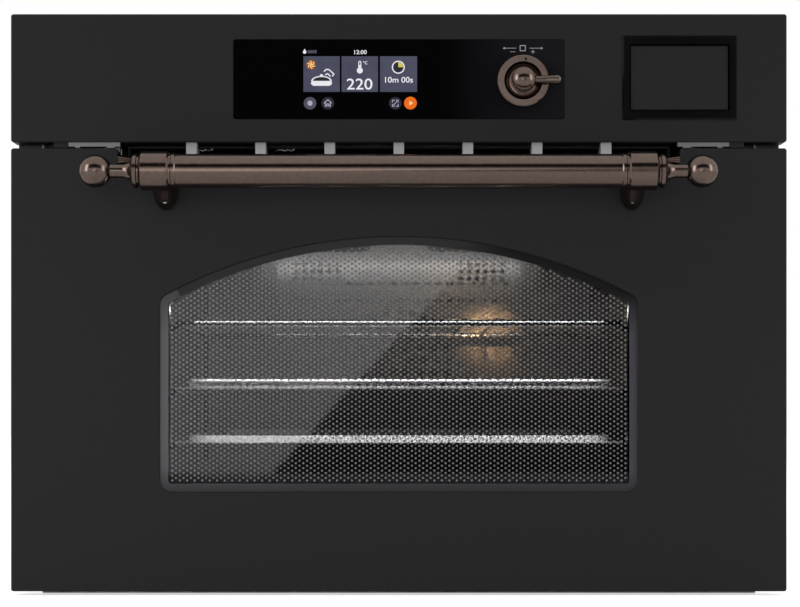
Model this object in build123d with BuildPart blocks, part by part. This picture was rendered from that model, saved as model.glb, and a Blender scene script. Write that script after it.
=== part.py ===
from build123d import *
import os

# Compact built-in oven with a drop-down door, an arched window and a pull-out water tank.
# X runs to the right, Y from the front to the back, Z up, all in millimetres.
# The origin is the middle of the niche's front edge: Y 0 is the cabinet's face and Z 0 the niche floor.

# Driving dimensions of the front
front_width = 595.0
front_height = 442.8
fascia_height = 98.2
fascia_gap = 4.7
front_bottom = 3.0
front_y = -22.0
skin = 2.0
corner_radius = 2.0
edge_bevel = 0.8

# Driving dimensions of the body behind the cabinet's face
body_width = 554.0
body_height = 436.0
body_depth = 524.0
sheet = 1.2

# Driving dimensions of the door
window_width = 366.4
window_bottom = 79.4
window_shoulder = 228.0
window_top = 275.1
recess_width = 432.0
recess_floor = 327.0
rim_back_y = -4.0
hinge_y = -12.0
hinge_z = 11.0

# Driving dimensions of the cavity
cavity_width = 392.0
cavity_floor = 73.0
cavity_ceiling = 303.0
cavity_front_y = 20.0
cavity_back_y = 420.0
cavity_corner = 13.0

# Driving dimensions of the handle, the knob and the tank
handle_y = -73.8
handle_z = 319.7
knob_x = 95.0
knob_z = 393.5
tank_x = 215.15
tank_z = 396.85

# Values that follow from them
half_body = body_width / 2
half_cavity = cavity_width / 2
front_top = front_bottom + front_height
fascia_bottom = front_top - fascia_height
door_top = fascia_bottom - fascia_gap
door_height = door_top - front_bottom
cavity_middle = (cavity_floor + cavity_ceiling) / 2
cavity_height = cavity_ceiling - cavity_floor
cavity_length = cavity_back_y - cavity_front_y

os.makedirs("parts", exist_ok=True)


def facing(y):
    """Upright plane at depth y that looks to the front: local x is X, local y is Z."""
    return Plane(origin=(0, y, 0), x_dir=(1, 0, 0), z_dir=(0, -1, 0))


def keep(piece, name):
    """Label a finished piece and write it to its own file."""
    piece.part.label = name
    export_step(piece.part, f"parts/{name}.step")


def frame_profile(width, bottom, top, radius):
    """Rectangle with round corners, seen from the front, from bottom to top."""
    with Locations((0, (bottom + top) / 2)):
        RectangleRounded(width, top - bottom, radius)


# Base plate: the oven stands on its flat underside; slots let cooling air in.
base_sheet = 1.5
base_slot_length = 40.0
base_slot_width = 6.0
with BuildPart() as base_plate:
    with BuildSketch(Plane.XY):
        with Locations((0, body_depth / 2)):
            Rectangle(body_width, body_depth)
        with Locations((0, body_depth / 2)):
            with GridLocations(60, 300, 6, 2):
                SlotOverall(base_slot_length, base_slot_width, rotation=90, mode=Mode.SUBTRACT)
    extrude(amount=base_sheet)
keep(base_plate, "base_plate")

# Side panels: one folded sheet on each side, with a row of slots high up at the back.
panel_top = body_height - base_sheet
flange_sheet = 1.5
side_slot_y = body_depth - 130
side_slot_z = panel_top - 50
slot_pitch = 16.0
slot_width = 5.0
with BuildPart() as side_panels:
    with BuildSketch(Plane.YZ.offset(half_body - sheet)):
        with Locations(((body_depth - flange_sheet) / 2, (base_sheet + panel_top) / 2)):
            Rectangle(body_depth + flange_sheet, panel_top - base_sheet)
        with Locations((side_slot_y, side_slot_z)):
            with GridLocations(slot_pitch, 0, 8, 1):
                SlotOverall(50, slot_width, rotation=90, mode=Mode.SUBTRACT)
    extrude(amount=sheet)
    mirror(about=Plane.YZ)
keep(side_panels, "side_panels")

# Top cover with slots over the cooling fan and four screw holes.
screw_hole = 2.0
top_screw_x = half_body - 20
top_screw_y = (40, body_depth - 40)
fan_x = 0.0
fan_y = 345.0
with BuildPart() as top_cover:
    with BuildSketch(Plane.XY.offset(panel_top)):
        with Locations((0, body_depth / 2)):
            Rectangle(body_width, body_depth)
        with Locations((fan_x, fan_y)):
            with GridLocations(12, 0, 10, 1):
                SlotOverall(110, slot_width, rotation=90, mode=Mode.SUBTRACT)
        for y in top_screw_y:
            with Locations((-top_screw_x, y), (top_screw_x, y)):
                Circle(screw_hole, mode=Mode.SUBTRACT)
    extrude(amount=base_sheet)
keep(top_cover, "top_cover")

# Rear cover: a flat sheet with a raised box over the motor, slots in it, and the gland's hole.
rear_box_width = 300.0
rear_box_bottom = 70.0
rear_box_top = 400.0
rear_box_y = body_depth + 15.0
gland_x = -205.0
gland_z = 85.0
gland_radius = 9.8
rear_screw_x = half_body - 12
rear_screw_z = (30, 220, 410)
with BuildPart() as rear_cover:
    with BuildSketch(facing(body_depth + sheet)):
        with Locations((0, body_height / 2)):
            Rectangle(body_width, body_height)
        with Locations((gland_x, gland_z)):
            Circle(gland_radius + 0.2, mode=Mode.SUBTRACT)
        for z in rear_screw_z:
            with Locations((-rear_screw_x, z), (rear_screw_x, z)):
                Circle(screw_hole, mode=Mode.SUBTRACT)
    extrude(amount=sheet)
    with BuildSketch(facing(rear_box_y)):
        frame_profile(rear_box_width, rear_box_bottom, rear_box_top, 12)
    extrude(amount=rear_box_y - body_depth)
    with BuildSketch(facing(rear_box_y - sheet)):
        frame_profile(rear_box_width - 2 * sheet, rear_box_bottom + sheet, rear_box_top - sheet, 11)
    extrude(amount=rear_box_y - sheet - body_depth, mode=Mode.SUBTRACT)
    with BuildSketch(facing(rear_box_y)):
        for z in (rear_box_bottom + 60, rear_box_top - 60):
            with Locations((0, z)):
                with GridLocations(slot_pitch, 0, 14, 1):
                    SlotOverall(70, slot_width, rotation=90)
    extrude(amount=sheet, mode=Mode.SUBTRACT)
keep(rear_cover, "rear_cover")

# Body screws: heads on the rear cover and the top cover, shanks through their holes.
screw_head_radius = 4.0
screw_head_height = 2.2
shank_radius = 1.9
with BuildPart() as body_screws:
    for z in rear_screw_z:
        with BuildSketch(facing(body_depth + sheet + screw_head_height)):
            with Locations((-rear_screw_x, z), (rear_screw_x, z)):
                Circle(screw_head_radius)
        extrude(amount=screw_head_height)
        with BuildSketch(facing(body_depth + sheet)):
            with Locations((-rear_screw_x, z), (rear_screw_x, z)):
                Circle(shank_radius)
        extrude(amount=sheet + 8)
    for y in top_screw_y:
        with BuildSketch(Plane.XY.offset(body_height)):
            with Locations((-top_screw_x, y), (top_screw_x, y)):
                Circle(screw_head_radius)
        extrude(amount=screw_head_height)
        with BuildSketch(Plane.XY.offset(body_height)):
            with Locations((-top_screw_x, y), (top_screw_x, y)):
                Circle(shank_radius)
        extrude(amount=-(base_sheet + 8))
keep(body_screws, "body_screws")

# Front frame: the enamelled sheet round the cavity's mouth, with a slot for each hinge arm.
frame_y = 18.0
frame_top = 328.5
arm_x = 245.5
arm_thickness = 5.0
arm_slot_z = 13.0
arm_slot_width = 9.0
arm_slot_height = 18.0
with BuildPart() as front_frame:
    with BuildSketch(facing(cavity_front_y)):
        with Locations((0, (base_sheet + frame_top) / 2)):
            Rectangle(body_width - 2 * sheet, frame_top - base_sheet)
        with Locations((0, cavity_middle)):
            RectangleRounded(cavity_width, cavity_height, cavity_corner, mode=Mode.SUBTRACT)
        with Locations((-arm_x, arm_slot_z), (arm_x, arm_slot_z)):
            Rectangle(arm_slot_width, arm_slot_height, mode=Mode.SUBTRACT)
    extrude(amount=cavity_front_y - frame_y)
keep(front_frame, "front_frame")

# Mounting flanges: strips along the side panels' front edges that lie on the cabinet and take its screws.
flange_bottom = 18.0
flange_outer_x = 295.0
flange_relief = 0.3
cabinet_screw_x = 288.0
cabinet_screw_z = (120, 320)
cabinet_screw_hole = 2.25
with BuildPart() as mounting_flanges:
    with BuildSketch(facing(0)):
        with Locations(((half_body + flange_outer_x) / 2, (flange_bottom + panel_top) / 2)):
            Rectangle(flange_outer_x - half_body, panel_top - flange_bottom)
        for z in cabinet_screw_z:
            with Locations((cabinet_screw_x, z)):
                Circle(cabinet_screw_hole, mode=Mode.SUBTRACT)
    extrude(amount=flange_sheet)
    chamfer(mounting_flanges.faces().sort_by(Axis.Y)[-1].edges().sort_by(Axis.X)[0], flange_relief)
    mirror(about=Plane.YZ)
keep(mounting_flanges, "mounting_flanges")

# Cavity shell: a steel tube with round corners, open to the front, with the lamp's hole above.
cavity_sheet = 1.0
lamp_x = 62.0
lamp_y = 230.0
lamp_hole = 24.0
with BuildPart() as cavity_shell:
    with BuildSketch(facing(cavity_back_y)):
        with Locations((0, cavity_middle)):
            RectangleRounded(
                cavity_width + 2 * cavity_sheet, cavity_height + 2 * cavity_sheet, cavity_corner + cavity_sheet
            )
            RectangleRounded(cavity_width, cavity_height, cavity_corner, mode=Mode.SUBTRACT)
    extrude(amount=cavity_length)
    with BuildSketch(Plane.XY.offset(cavity_ceiling)):
        with Locations((lamp_x, lamp_y)):
            Circle(lamp_hole)
    extrude(amount=cavity_sheet, mode=Mode.SUBTRACT)
keep(cavity_shell, "cavity_shell")

# Cavity rear wall: a plate pressed into a round dish that holds the fan and the ring heater.
dish_radius = 92.0
dish_y = 458.0
motor_shaft_hole = 4.6
heater_radius = 3.2
terminal_x = 12.0
steam_port_x = 150.0
steam_port_z = 250.0
steam_pipe_radius = 6.0
grill_x = 150.0
grill_z = 294.0
stub_x = 138.0
stub_z = 279.0
stub_width = 10.0
stub_height = 34.0
stub_depth = 6.0
with BuildPart() as cavity_rear_wall:
    with BuildSketch(facing(cavity_back_y + cavity_sheet)):
        with Locations((0, cavity_middle)):
            RectangleRounded(
                cavity_width + 2 * cavity_sheet, cavity_height + 2 * cavity_sheet, cavity_corner + cavity_sheet
            )
        with Locations((steam_port_x, steam_port_z)):
            Circle(steam_pipe_radius + 0.1, mode=Mode.SUBTRACT)
        with Locations((-grill_x, grill_z), (grill_x, grill_z)):
            Circle(heater_radius + 0.2, mode=Mode.SUBTRACT)
    extrude(amount=cavity_sheet)
    with BuildSketch(facing(dish_y)):
        with Locations((0, cavity_middle)):
            Circle(dish_radius)
    extrude(amount=dish_y - cavity_back_y - cavity_sheet)
    with BuildSketch(facing(dish_y - cavity_sheet)):
        with Locations((0, cavity_middle)):
            Circle(dish_radius - cavity_sheet)
    extrude(amount=dish_y - cavity_back_y, mode=Mode.SUBTRACT)
    with BuildSketch(facing(dish_y)):
        with Locations((0, cavity_middle)):
            Circle(motor_shaft_hole)
        with Locations((-terminal_x, cavity_middle - 82), (terminal_x, cavity_middle - 82)):
            Circle(heater_radius + 0.2)
    extrude(amount=2 * cavity_sheet, mode=Mode.SUBTRACT)
    with BuildSketch(facing(cavity_back_y)):
        with Locations((-stub_x, stub_z), (stub_x, stub_z)):
            Rectangle(stub_width, stub_height)
    extrude(amount=stub_depth)
keep(cavity_rear_wall, "cavity_rear_wall")

# Fan baffle: a shallow tray in front of the fan with rows of holes and a round intake.
baffle_front_y = 408.0
baffle_width = 240.0
baffle_bottom = 92.0
baffle_top = 285.0
group_x = 80.0
group_inset = 10.5
group_hole = 2.3
baffle_slot_z = (113.0, 129.6, 246.4, 263.0)
baffle_slot_width = 2.4
intake_hole = 3.4
with BuildPart() as fan_baffle:
    with BuildSketch(facing(cavity_back_y)):
        frame_profile(baffle_width, baffle_bottom, baffle_top, 10)
    extrude(amount=cavity_back_y - baffle_front_y)
    with BuildSketch(facing(cavity_back_y)):
        frame_profile(baffle_width - 2, baffle_bottom + 1, baffle_top - 1, 9)
    extrude(amount=cavity_back_y - baffle_front_y - 1, mode=Mode.SUBTRACT)
    with BuildSketch(facing(baffle_front_y + 1)):
        for z in (baffle_bottom + group_inset, baffle_top - group_inset):
            with Locations((-group_x, z), (group_x, z)):
                with GridLocations(8, 6.6, 6, 3):
                    Circle(group_hole)
        for z in baffle_slot_z:
            with Locations((0, z)):
                with GridLocations(11, 0, 20, 1):
                    SlotOverall(7, baffle_slot_width)
        for circle_radius, count in ((12, 6), (24, 12), (36, 18), (48, 24)):
            with Locations((0, cavity_middle)):
                with PolarLocations(circle_radius, count):
                    Circle(intake_hole)
    extrude(amount=1, mode=Mode.SUBTRACT)
keep(fan_baffle, "fan_baffle")

# Ring heater round the fan, with two terminals through the dish.
ring_y = 440.0
ring_radius = 82.0
with BuildPart() as ring_heater:
    with Locations(Plane(origin=(0, ring_y, cavity_middle), z_dir=(0, 1, 0))):
        Torus(ring_radius, heater_radius)
    with BuildSketch(facing(dish_y + 12)):
        with Locations((-terminal_x, cavity_middle - ring_radius), (terminal_x, cavity_middle - ring_radius)):
            Circle(heater_radius)
    extrude(amount=dish_y + 12 - ring_y)
keep(ring_heater, "ring_heater")

# Convection motor behind the dish, bored for the fan's shaft.
motor_y = 464.0
motor_length = 44.0
motor_radius = 30.0
motor_foot_x = 50.0
fan_shaft_radius = 4.0
running_gap = 0.05
with BuildPart() as convection_motor:
    with BuildSketch(facing(motor_y + motor_length)):
        with Locations((0, cavity_middle)):
            Circle(motor_radius)
    extrude(amount=motor_length)
    with BuildSketch(facing(motor_y)):
        with Locations((0, cavity_middle)):
            Rectangle(110, 14)
            Circle(22, mode=Mode.SUBTRACT)
    extrude(amount=2)
    with BuildSketch(facing(motor_y)):
        with Locations((-motor_foot_x, cavity_middle), (motor_foot_x, cavity_middle)):
            Circle(5)
    extrude(amount=motor_y - dish_y)
    with BuildSketch(facing(motor_y + 36)):
        with Locations((0, cavity_middle)):
            Circle(fan_shaft_radius + running_gap)
    extrude(amount=40, mode=Mode.SUBTRACT)
keep(convection_motor, "convection_motor")

# Convection fan: a disc with straight blades on a hub and a long shaft.
fan_disc_y = 448.0
fan_radius = 68.0
fan_blade_depth = 17.0
with BuildPart() as convection_fan:
    with BuildSketch(facing(motor_y + 35)):
        with Locations((0, cavity_middle)):
            Circle(fan_shaft_radius)
    extrude(amount=60)
    with BuildSketch(facing(fan_disc_y)):
        with Locations((0, cavity_middle)):
            Circle(fan_radius)
    extrude(amount=1)
    with BuildSketch(facing(fan_disc_y - 0.5)):
        with Locations((0, cavity_middle)):
            Circle(12)
            with PolarLocations(50, 16):
                Rectangle(34, sheet)
    extrude(amount=fan_blade_depth)
keep(convection_fan, "convection_fan")


def serpentine(half_width, near_y, far_y, end_y, z, runs=6):
    """Corner points of a heating element that runs back and forth, with both ends at the back."""
    step = 2 * half_width / (runs - 1)
    points = []
    for run in range(runs):
        x = -half_width + run * step
        back = end_y if run in (0, runs - 1) else far_y
        pair = [(x, back, z), (x, near_y, z)]
        points += pair if run % 2 == 0 else pair[::-1]
    return points


# Grill element under the cavity's ceiling, with its ends through the rear wall.
element_bend = 24.0
with BuildPart() as grill_element:
    with BuildLine() as grill_path:
        FilletPolyline(*serpentine(grill_x, 80, 370, 432, grill_z), radius=element_bend)
    with BuildSketch(Plane(origin=grill_path.line @ 0, z_dir=grill_path.line % 0)):
        Circle(heater_radius)
    sweep()
keep(grill_element, "grill_element")

# Bottom heater in the gap between the cavity's floor and the insulation.
with BuildPart() as bottom_heater:
    with BuildLine() as bottom_path:
        FilletPolyline(*serpentine(125, 90, 380, 410, 66), radius=element_bend)
    with BuildSketch(Plane(origin=bottom_path.line @ 0, z_dir=bottom_path.line % 0)):
        Circle(heater_radius)
    sweep()
keep(bottom_heater, "bottom_heater")

# Insulation: one blanket round the cavity, with a gap for the bottom heater and the lamp's hole.
wool_half_width = 225.0
wool_bottom = 46.0
wool_top = 328.0
with BuildPart() as insulation_wrap:
    with BuildSketch(facing(cavity_back_y)):
        frame_profile(2 * wool_half_width, wool_bottom, wool_top, 20)
        with Locations((0, (58 + cavity_ceiling + 1.3) / 2)):
            RectangleRounded(cavity_width + 2.6, cavity_ceiling + 1.3 - 58, cavity_corner, mode=Mode.SUBTRACT)
    extrude(amount=cavity_length - 0.5)
    with BuildSketch(Plane.XY.offset(cavity_ceiling)):
        with Locations((lamp_x, lamp_y)):
            Circle(31)
    extrude(amount=wool_top - cavity_ceiling + 1, mode=Mode.SUBTRACT)
keep(insulation_wrap, "insulation_wrap")

# Lamp: a cup in the insulation, a capsule bulb lying in it, and a glass lens in the ceiling's hole.
lamp_cup_radius = 30.0
lamp_cup_top = 336.0
with BuildPart() as lamp_housing:
    with BuildSketch(Plane.XY.offset(cavity_ceiling + cavity_sheet)):
        with Locations((lamp_x, lamp_y)):
            Circle(lamp_cup_radius)
    extrude(amount=lamp_cup_top - cavity_ceiling - cavity_sheet)
    with BuildSketch(Plane.XY.offset(cavity_ceiling + cavity_sheet)):
        with Locations((lamp_x, lamp_y)):
            Circle(lamp_cup_radius - 1.5)
    extrude(amount=lamp_cup_top - cavity_ceiling - cavity_sheet - 1.5, mode=Mode.SUBTRACT)
keep(lamp_housing, "lamp_housing")

bulb_z = 319.0
with BuildPart() as lamp_bulb:
    with BuildSketch(Plane.YZ.offset(lamp_x - lamp_cup_radius + 2.5)):
        with Locations((lamp_y, bulb_z)):
            Rectangle(12, 8)
    extrude(amount=14)
    with BuildSketch(Plane.YZ.offset(lamp_x - lamp_cup_radius + 16.5)):
        with Locations((lamp_y, bulb_z)):
            Circle(6)
    extrude(amount=26)
    fillet(lamp_bulb.faces().sort_by(Axis.X)[-1].edges(), 4)
keep(lamp_bulb, "lamp_bulb")

with BuildPart() as lamp_lens:
    with BuildSketch(Plane.XY.offset(cavity_ceiling - 4)):
        with Locations((lamp_x, lamp_y)):
            Circle(lamp_hole - 0.2)
    extrude(amount=6)
    fillet(lamp_lens.faces().sort_by(Axis.Z)[0].edges(), 2.5)
keep(lamp_lens, "lamp_lens")

# Shelf ladders: two uprights and one rail for each level on either side of the cavity.
wire_rack_z = 211.4
baking_tray_z = 159.9
steam_tray_z = 116.5
spare_level_z = 262.0
rail_drop = 4.2
rail_x = 180.0
rail_radius = 2.5
upright_x = 184.5
ladder_front_y = 46.0
ladder_back_y = 398.0
upright_y = (49.0, 380.0)
upright_low = 92.0
upright_high = 282.0
foot_levels = (110.0, 265.0)
with BuildPart() as shelf_ladders:
    with BuildSketch(facing(ladder_back_y)):
        for z in (wire_rack_z, baking_tray_z, steam_tray_z, spare_level_z):
            with Locations((rail_x, z - rail_drop)):
                Circle(rail_radius)
    extrude(amount=ladder_back_y - ladder_front_y)
    for y in upright_y:
        with BuildSketch(Plane.XY.offset(upright_low)):
            with Locations((upright_x, y)):
                Circle(rail_radius)
        extrude(amount=upright_high - upright_low)
        with BuildSketch(Plane.YZ.offset(upright_x)):
            with Locations((y, foot_levels[0]), (y, foot_levels[1])):
                Circle(3)
        extrude(amount=half_cavity - upright_x)
    mirror(about=Plane.YZ)
keep(shelf_ladders, "shelf_ladders")

# Wire rack: a frame of thick bars with thirteen wires from front to back.
rack_front_y = 48.0
rack_back_y = 395.0
rack_bar_x = 176.0
rack_bar_radius = 3.0
wire_radius = 1.6
wire_pitch = 26.3
wire_count = 13
with BuildPart() as wire_rack:
    with BuildSketch(facing(rack_back_y)):
        with Locations((-rack_bar_x, wire_rack_z), (rack_bar_x, wire_rack_z)):
            Circle(rack_bar_radius)
    extrude(amount=rack_back_y - rack_front_y)
    with BuildSketch(Plane.YZ.offset(-rack_bar_x)):
        with Locations((rack_front_y, wire_rack_z), (rack_back_y, wire_rack_z)):
            Circle(rack_bar_radius)
    extrude(amount=2 * rack_bar_x)
    with BuildSketch(facing(rack_back_y + 2)):
        with Locations((0, wire_rack_z + 2.4)):
            with GridLocations(wire_pitch, 0, wire_count, 1):
                Circle(wire_radius)
    extrude(amount=rack_back_y - rack_front_y + 4)
keep(wire_rack, "wire_rack")

tray_half_width = 179.2
tray_wall_x = 169.0
tray_front_y = 48.0
tray_back_y = 395.0
tray_wall = 1.2
tray_length = tray_back_y - tray_front_y
tray_middle_y = (tray_front_y + tray_back_y) / 2
steam_hole = 4.0
steam_hole_pitch = 22.0


def tray_border():
    """Low wall of a tray seen from above: a rounded rectangle with a smaller one taken out."""
    with Locations((0, tray_middle_y)):
        RectangleRounded(2 * tray_wall_x, tray_length - 2, 12)
        RectangleRounded(
            2 * (tray_wall_x - tray_wall), tray_length - 2 - 2 * tray_wall, 11, mode=Mode.SUBTRACT
        )


# Baking tray and steam tray: flat sheets on the rails with a low raised wall all round.
with BuildPart() as baking_tray:
    with BuildSketch(Plane.XY.offset(baking_tray_z - 1)):
        with Locations((0, tray_middle_y)):
            Rectangle(2 * tray_half_width, tray_length)
    extrude(amount=1)
    with BuildSketch(Plane.XY.offset(baking_tray_z)):
        tray_border()
    extrude(amount=6.5)
keep(baking_tray, "baking_tray")

with BuildPart() as steam_tray:
    with BuildSketch(Plane.XY.offset(steam_tray_z - 1)):
        with Locations((0, tray_middle_y)):
            Rectangle(2 * tray_half_width, tray_length)
            with GridLocations(steam_hole_pitch, steam_hole_pitch, 14, 14):
                Circle(steam_hole, mode=Mode.SUBTRACT)
    extrude(amount=1)
    with BuildSketch(Plane.XY.offset(steam_tray_z)):
        tray_border()
    extrude(amount=5)
keep(steam_tray, "steam_tray")

# Door seal: a rubber ring in front of the front frame, round the cavity's mouth.
seal_front_y = 12.0
seal_inner_x = 201.0
seal_outer_x = 213.0
seal_outer_z = (53.0, 320.0)
seal_inner_z = (65.0, 308.0)
with BuildPart() as door_seal:
    with BuildSketch(facing(frame_y)):
        frame_profile(2 * seal_outer_x, seal_outer_z[0], seal_outer_z[1], 22)
        with Locations((0, (seal_inner_z[0] + seal_inner_z[1]) / 2)):
            RectangleRounded(2 * seal_inner_x, seal_inner_z[1] - seal_inner_z[0], 12, mode=Mode.SUBTRACT)
    extrude(amount=frame_y - seal_front_y)
    fillet(door_seal.faces().sort_by(Axis.Y)[0].edges(), 2.5)
keep(door_seal, "door_seal")

# Hinge units: on each side a spring case behind the front frame, and the arm that reaches into the door.
case_half_width = 8.5
case_back_y = 160.0
case_bottom = 4.0
case_top = 46.0
arm_radius = 6.0
arm_end_y = 120.0
pin_radius = 3.0
with BuildPart() as hinge_units:
    with BuildSketch(facing(case_back_y)):
        with Locations((arm_x, (case_bottom + case_top) / 2)):
            Rectangle(2 * case_half_width, case_top - case_bottom)
    extrude(amount=case_back_y - cavity_front_y)
    with BuildSketch(facing(case_back_y - sheet)):
        with Locations((arm_x, (case_bottom + case_top) / 2)):
            Rectangle(2 * case_half_width - 2 * sheet, case_top - case_bottom - 2 * sheet)
    extrude(amount=case_back_y, mode=Mode.SUBTRACT)
    with BuildSketch(Plane.YZ.offset(arm_x - arm_thickness / 2)):
        with Locations((hinge_y, hinge_z)):
            Circle(arm_radius)
        with Locations(((hinge_y + arm_end_y) / 2, hinge_z)):
            Rectangle(arm_end_y - hinge_y, 2 * arm_radius)
        with Locations((hinge_y, hinge_z)):
            Circle(pin_radius + running_gap, mode=Mode.SUBTRACT)
    extrude(amount=arm_thickness)
    with BuildSketch(Plane.YZ.offset(arm_x - case_half_width)):
        with Locations((arm_end_y - 10, hinge_z)):
            Circle(pin_radius)
    extrude(amount=2 * case_half_width)
    mirror(about=Plane.YZ)
keep(hinge_units, "hinge_units")

# Hinge brackets in the door: a block with two cheeks that straddle the arm.
bracket_half_width = 8.5
fork_gap = 5.8
bracket_length = 50.0
with BuildPart() as hinge_brackets:
    with BuildSketch(Plane.YZ.offset(arm_x - bracket_half_width)):
        with Locations((hinge_y, hinge_z)):
            Circle(arm_radius)
        with Locations((hinge_y, hinge_z + bracket_length / 2)):
            Rectangle(2 * arm_radius, bracket_length)
        with Locations((hinge_y, hinge_z)):
            Circle(pin_radius + 0.01, mode=Mode.SUBTRACT)
    extrude(amount=2 * bracket_half_width)
    with BuildSketch(Plane.YZ.offset(arm_x - fork_gap / 2)):
        with Locations((hinge_y, hinge_z)):
            Rectangle(40, 22)
    extrude(amount=fork_gap, mode=Mode.SUBTRACT)
    mirror(about=Plane.YZ)
keep(hinge_brackets, "hinge_brackets")

# Hinge pins through the cheeks and the arms.
with BuildPart() as hinge_pins:
    with BuildSketch(Plane.YZ.offset(arm_x - bracket_half_width)):
        with Locations((hinge_y, hinge_z)):
            Circle(pin_radius)
    extrude(amount=2 * bracket_half_width)
    mirror(about=Plane.YZ)
keep(hinge_pins, "hinge_pins")


def door_outline(inset):
    """Door seen from the front: a plate whose top edge is lowered behind the handle."""
    with Locations((0, (front_bottom + door_top) / 2)):
        Rectangle(front_width - 2 * inset, door_height - 2 * inset)
    with Locations((0, door_top)):
        Rectangle(recess_width + 2 * inset, 2 * (door_top - recess_floor + inset), mode=Mode.SUBTRACT)


def window_outline():
    """Window seen from the front: upright sides and a shallow arch on top."""
    half = window_width / 2
    with BuildLine() as border:
        Polyline((-half, window_shoulder), (-half, window_bottom), (half, window_bottom), (half, window_shoulder))
        ThreePointArc((half, window_shoulder), (0, window_top), (-half, window_shoulder))
    make_face(border.edges())


# Door panel: a painted steel tray with the arched window cut into its face.
bracket_x = 178.0
handle_screw_z = (302.0, 316.0)
handle_screw_radius = 2.5
window_corner = 8.5
lower_rim_cut_y = -8.0
with BuildPart() as door_panel:
    with BuildSketch(facing(rim_back_y)) as outline:
        door_outline(0)
        fillet(outline.vertices(), corner_radius)
    extrude(amount=rim_back_y - front_y)
    with BuildSketch(facing(rim_back_y)):
        door_outline(skin)
    extrude(amount=rim_back_y - front_y - skin, mode=Mode.SUBTRACT)
    with BuildSketch(facing(front_y + skin)) as opening:
        window_outline()
        fillet(opening.vertices(), window_corner)
    extrude(amount=skin, mode=Mode.SUBTRACT)
    chamfer(door_panel.faces().sort_by(Axis.Y)[0].edges(), edge_bevel)
    with BuildSketch(facing(rim_back_y)):
        with Locations((0, front_bottom)):
            Rectangle(front_width, 8)
    extrude(amount=rim_back_y - lower_rim_cut_y, mode=Mode.SUBTRACT)
    with BuildSketch(facing(rim_back_y)):
        with Locations((-arm_x, front_bottom), (arm_x, front_bottom)):
            Rectangle(11, 8)
    extrude(amount=rim_back_y - front_y - skin, mode=Mode.SUBTRACT)
    with BuildSketch(facing(front_y + skin)):
        for z in handle_screw_z:
            with Locations((-bracket_x, z), (bracket_x, z)):
                Circle(handle_screw_radius + 0.1)
    extrude(amount=skin, mode=Mode.SUBTRACT)
keep(door_panel, "door_panel")

# Door frame: a sheet box inside the panel that carries the panes, with an outer flange behind the rim.
frame_half_width = 256.0
frame_low = 20.0
frame_high = 324.0
frame_front_y = -19.8
frame_back_y = 11.0
lip_back_y = 7.5
lip_width = 444.0
lip_height = 268.0
outer_flange_y = -4.2
outer_flange_width = 590.0
with BuildPart() as door_frame:
    with BuildSketch(facing(frame_back_y)):
        with Locations((0, (frame_low + frame_high) / 2)):
            Rectangle(2 * frame_half_width, frame_high - frame_low)
            Rectangle(2 * frame_half_width - 2, frame_high - frame_low - 2, mode=Mode.SUBTRACT)
    extrude(amount=frame_back_y - frame_front_y)
    with BuildSketch(facing(lip_back_y)):
        with Locations((0, (frame_low + frame_high) / 2)):
            Rectangle(2 * frame_half_width - 1, frame_high - frame_low - 1)
            Rectangle(lip_width, lip_height, mode=Mode.SUBTRACT)
    extrude(amount=1)
    with BuildSketch(facing(outer_flange_y)):
        with Locations((0, (frame_low + frame_high) / 2)):
            Rectangle(outer_flange_width, frame_high - frame_low)
            Rectangle(2 * frame_half_width - 1, frame_high - frame_low - 1, mode=Mode.SUBTRACT)
    extrude(amount=1)
    with BuildSketch(facing(-5.5)):
        with Locations((-arm_x, frame_low), (arm_x, frame_low)):
            Rectangle(18, 6)
    extrude(amount=15, mode=Mode.SUBTRACT)
keep(door_frame, "door_frame")

# Panes: the window glass behind the panel, the middle pane, and the inner pane that meets the seal.
pane = 4.0
window_glass_y = -15.8
inner_glass_y = 11.6
with BuildPart() as window_glass:
    with BuildSketch(facing(window_glass_y)):
        frame_profile(408, 64, 288, 4)
    extrude(amount=pane)
keep(window_glass, "window_glass")

with BuildPart() as middle_glass:
    with BuildSketch(facing(0)):
        frame_profile(460, 36, 308, 4)
    extrude(amount=pane)
keep(middle_glass, "middle_glass")

with BuildPart() as inner_glass:
    with BuildSketch(facing(inner_glass_y)):
        frame_profile(492, 28, 321, 6)
    extrude(amount=pane)
keep(inner_glass, "inner_glass")

# Glass clips: blocks at the corners between the window glass and the door frame's lip.
clip_places = [(x, z) for x in (-215, 215) for z in (50, 294)]
clip_width = 16.0
clip_height = 20.0
with BuildPart() as glass_clips:
    for back_y, depth in ((lip_back_y - 1.1, 6.4), (-pane, 15.0)):
        with BuildSketch(facing(back_y)):
            with Locations(*clip_places):
                Rectangle(clip_width, clip_height)
        extrude(amount=depth)
keep(glass_clips, "glass_clips")


def along_handle(x):
    """Plane across the handle's axis at x, with its local origin on the axis."""
    return Plane(origin=(x, handle_y, handle_z), x_dir=(0, 1, 0), z_dir=(1, 0, 0))


# Handle bar: a straight tube between the two turned ends.
bar_radius = 12.6
bar_half_length = 165.0
with BuildPart() as handle_bar:
    with BuildSketch(along_handle(-bar_half_length)):
        Circle(bar_radius)
    extrude(amount=2 * bar_half_length)
keep(handle_bar, "handle_bar")

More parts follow.
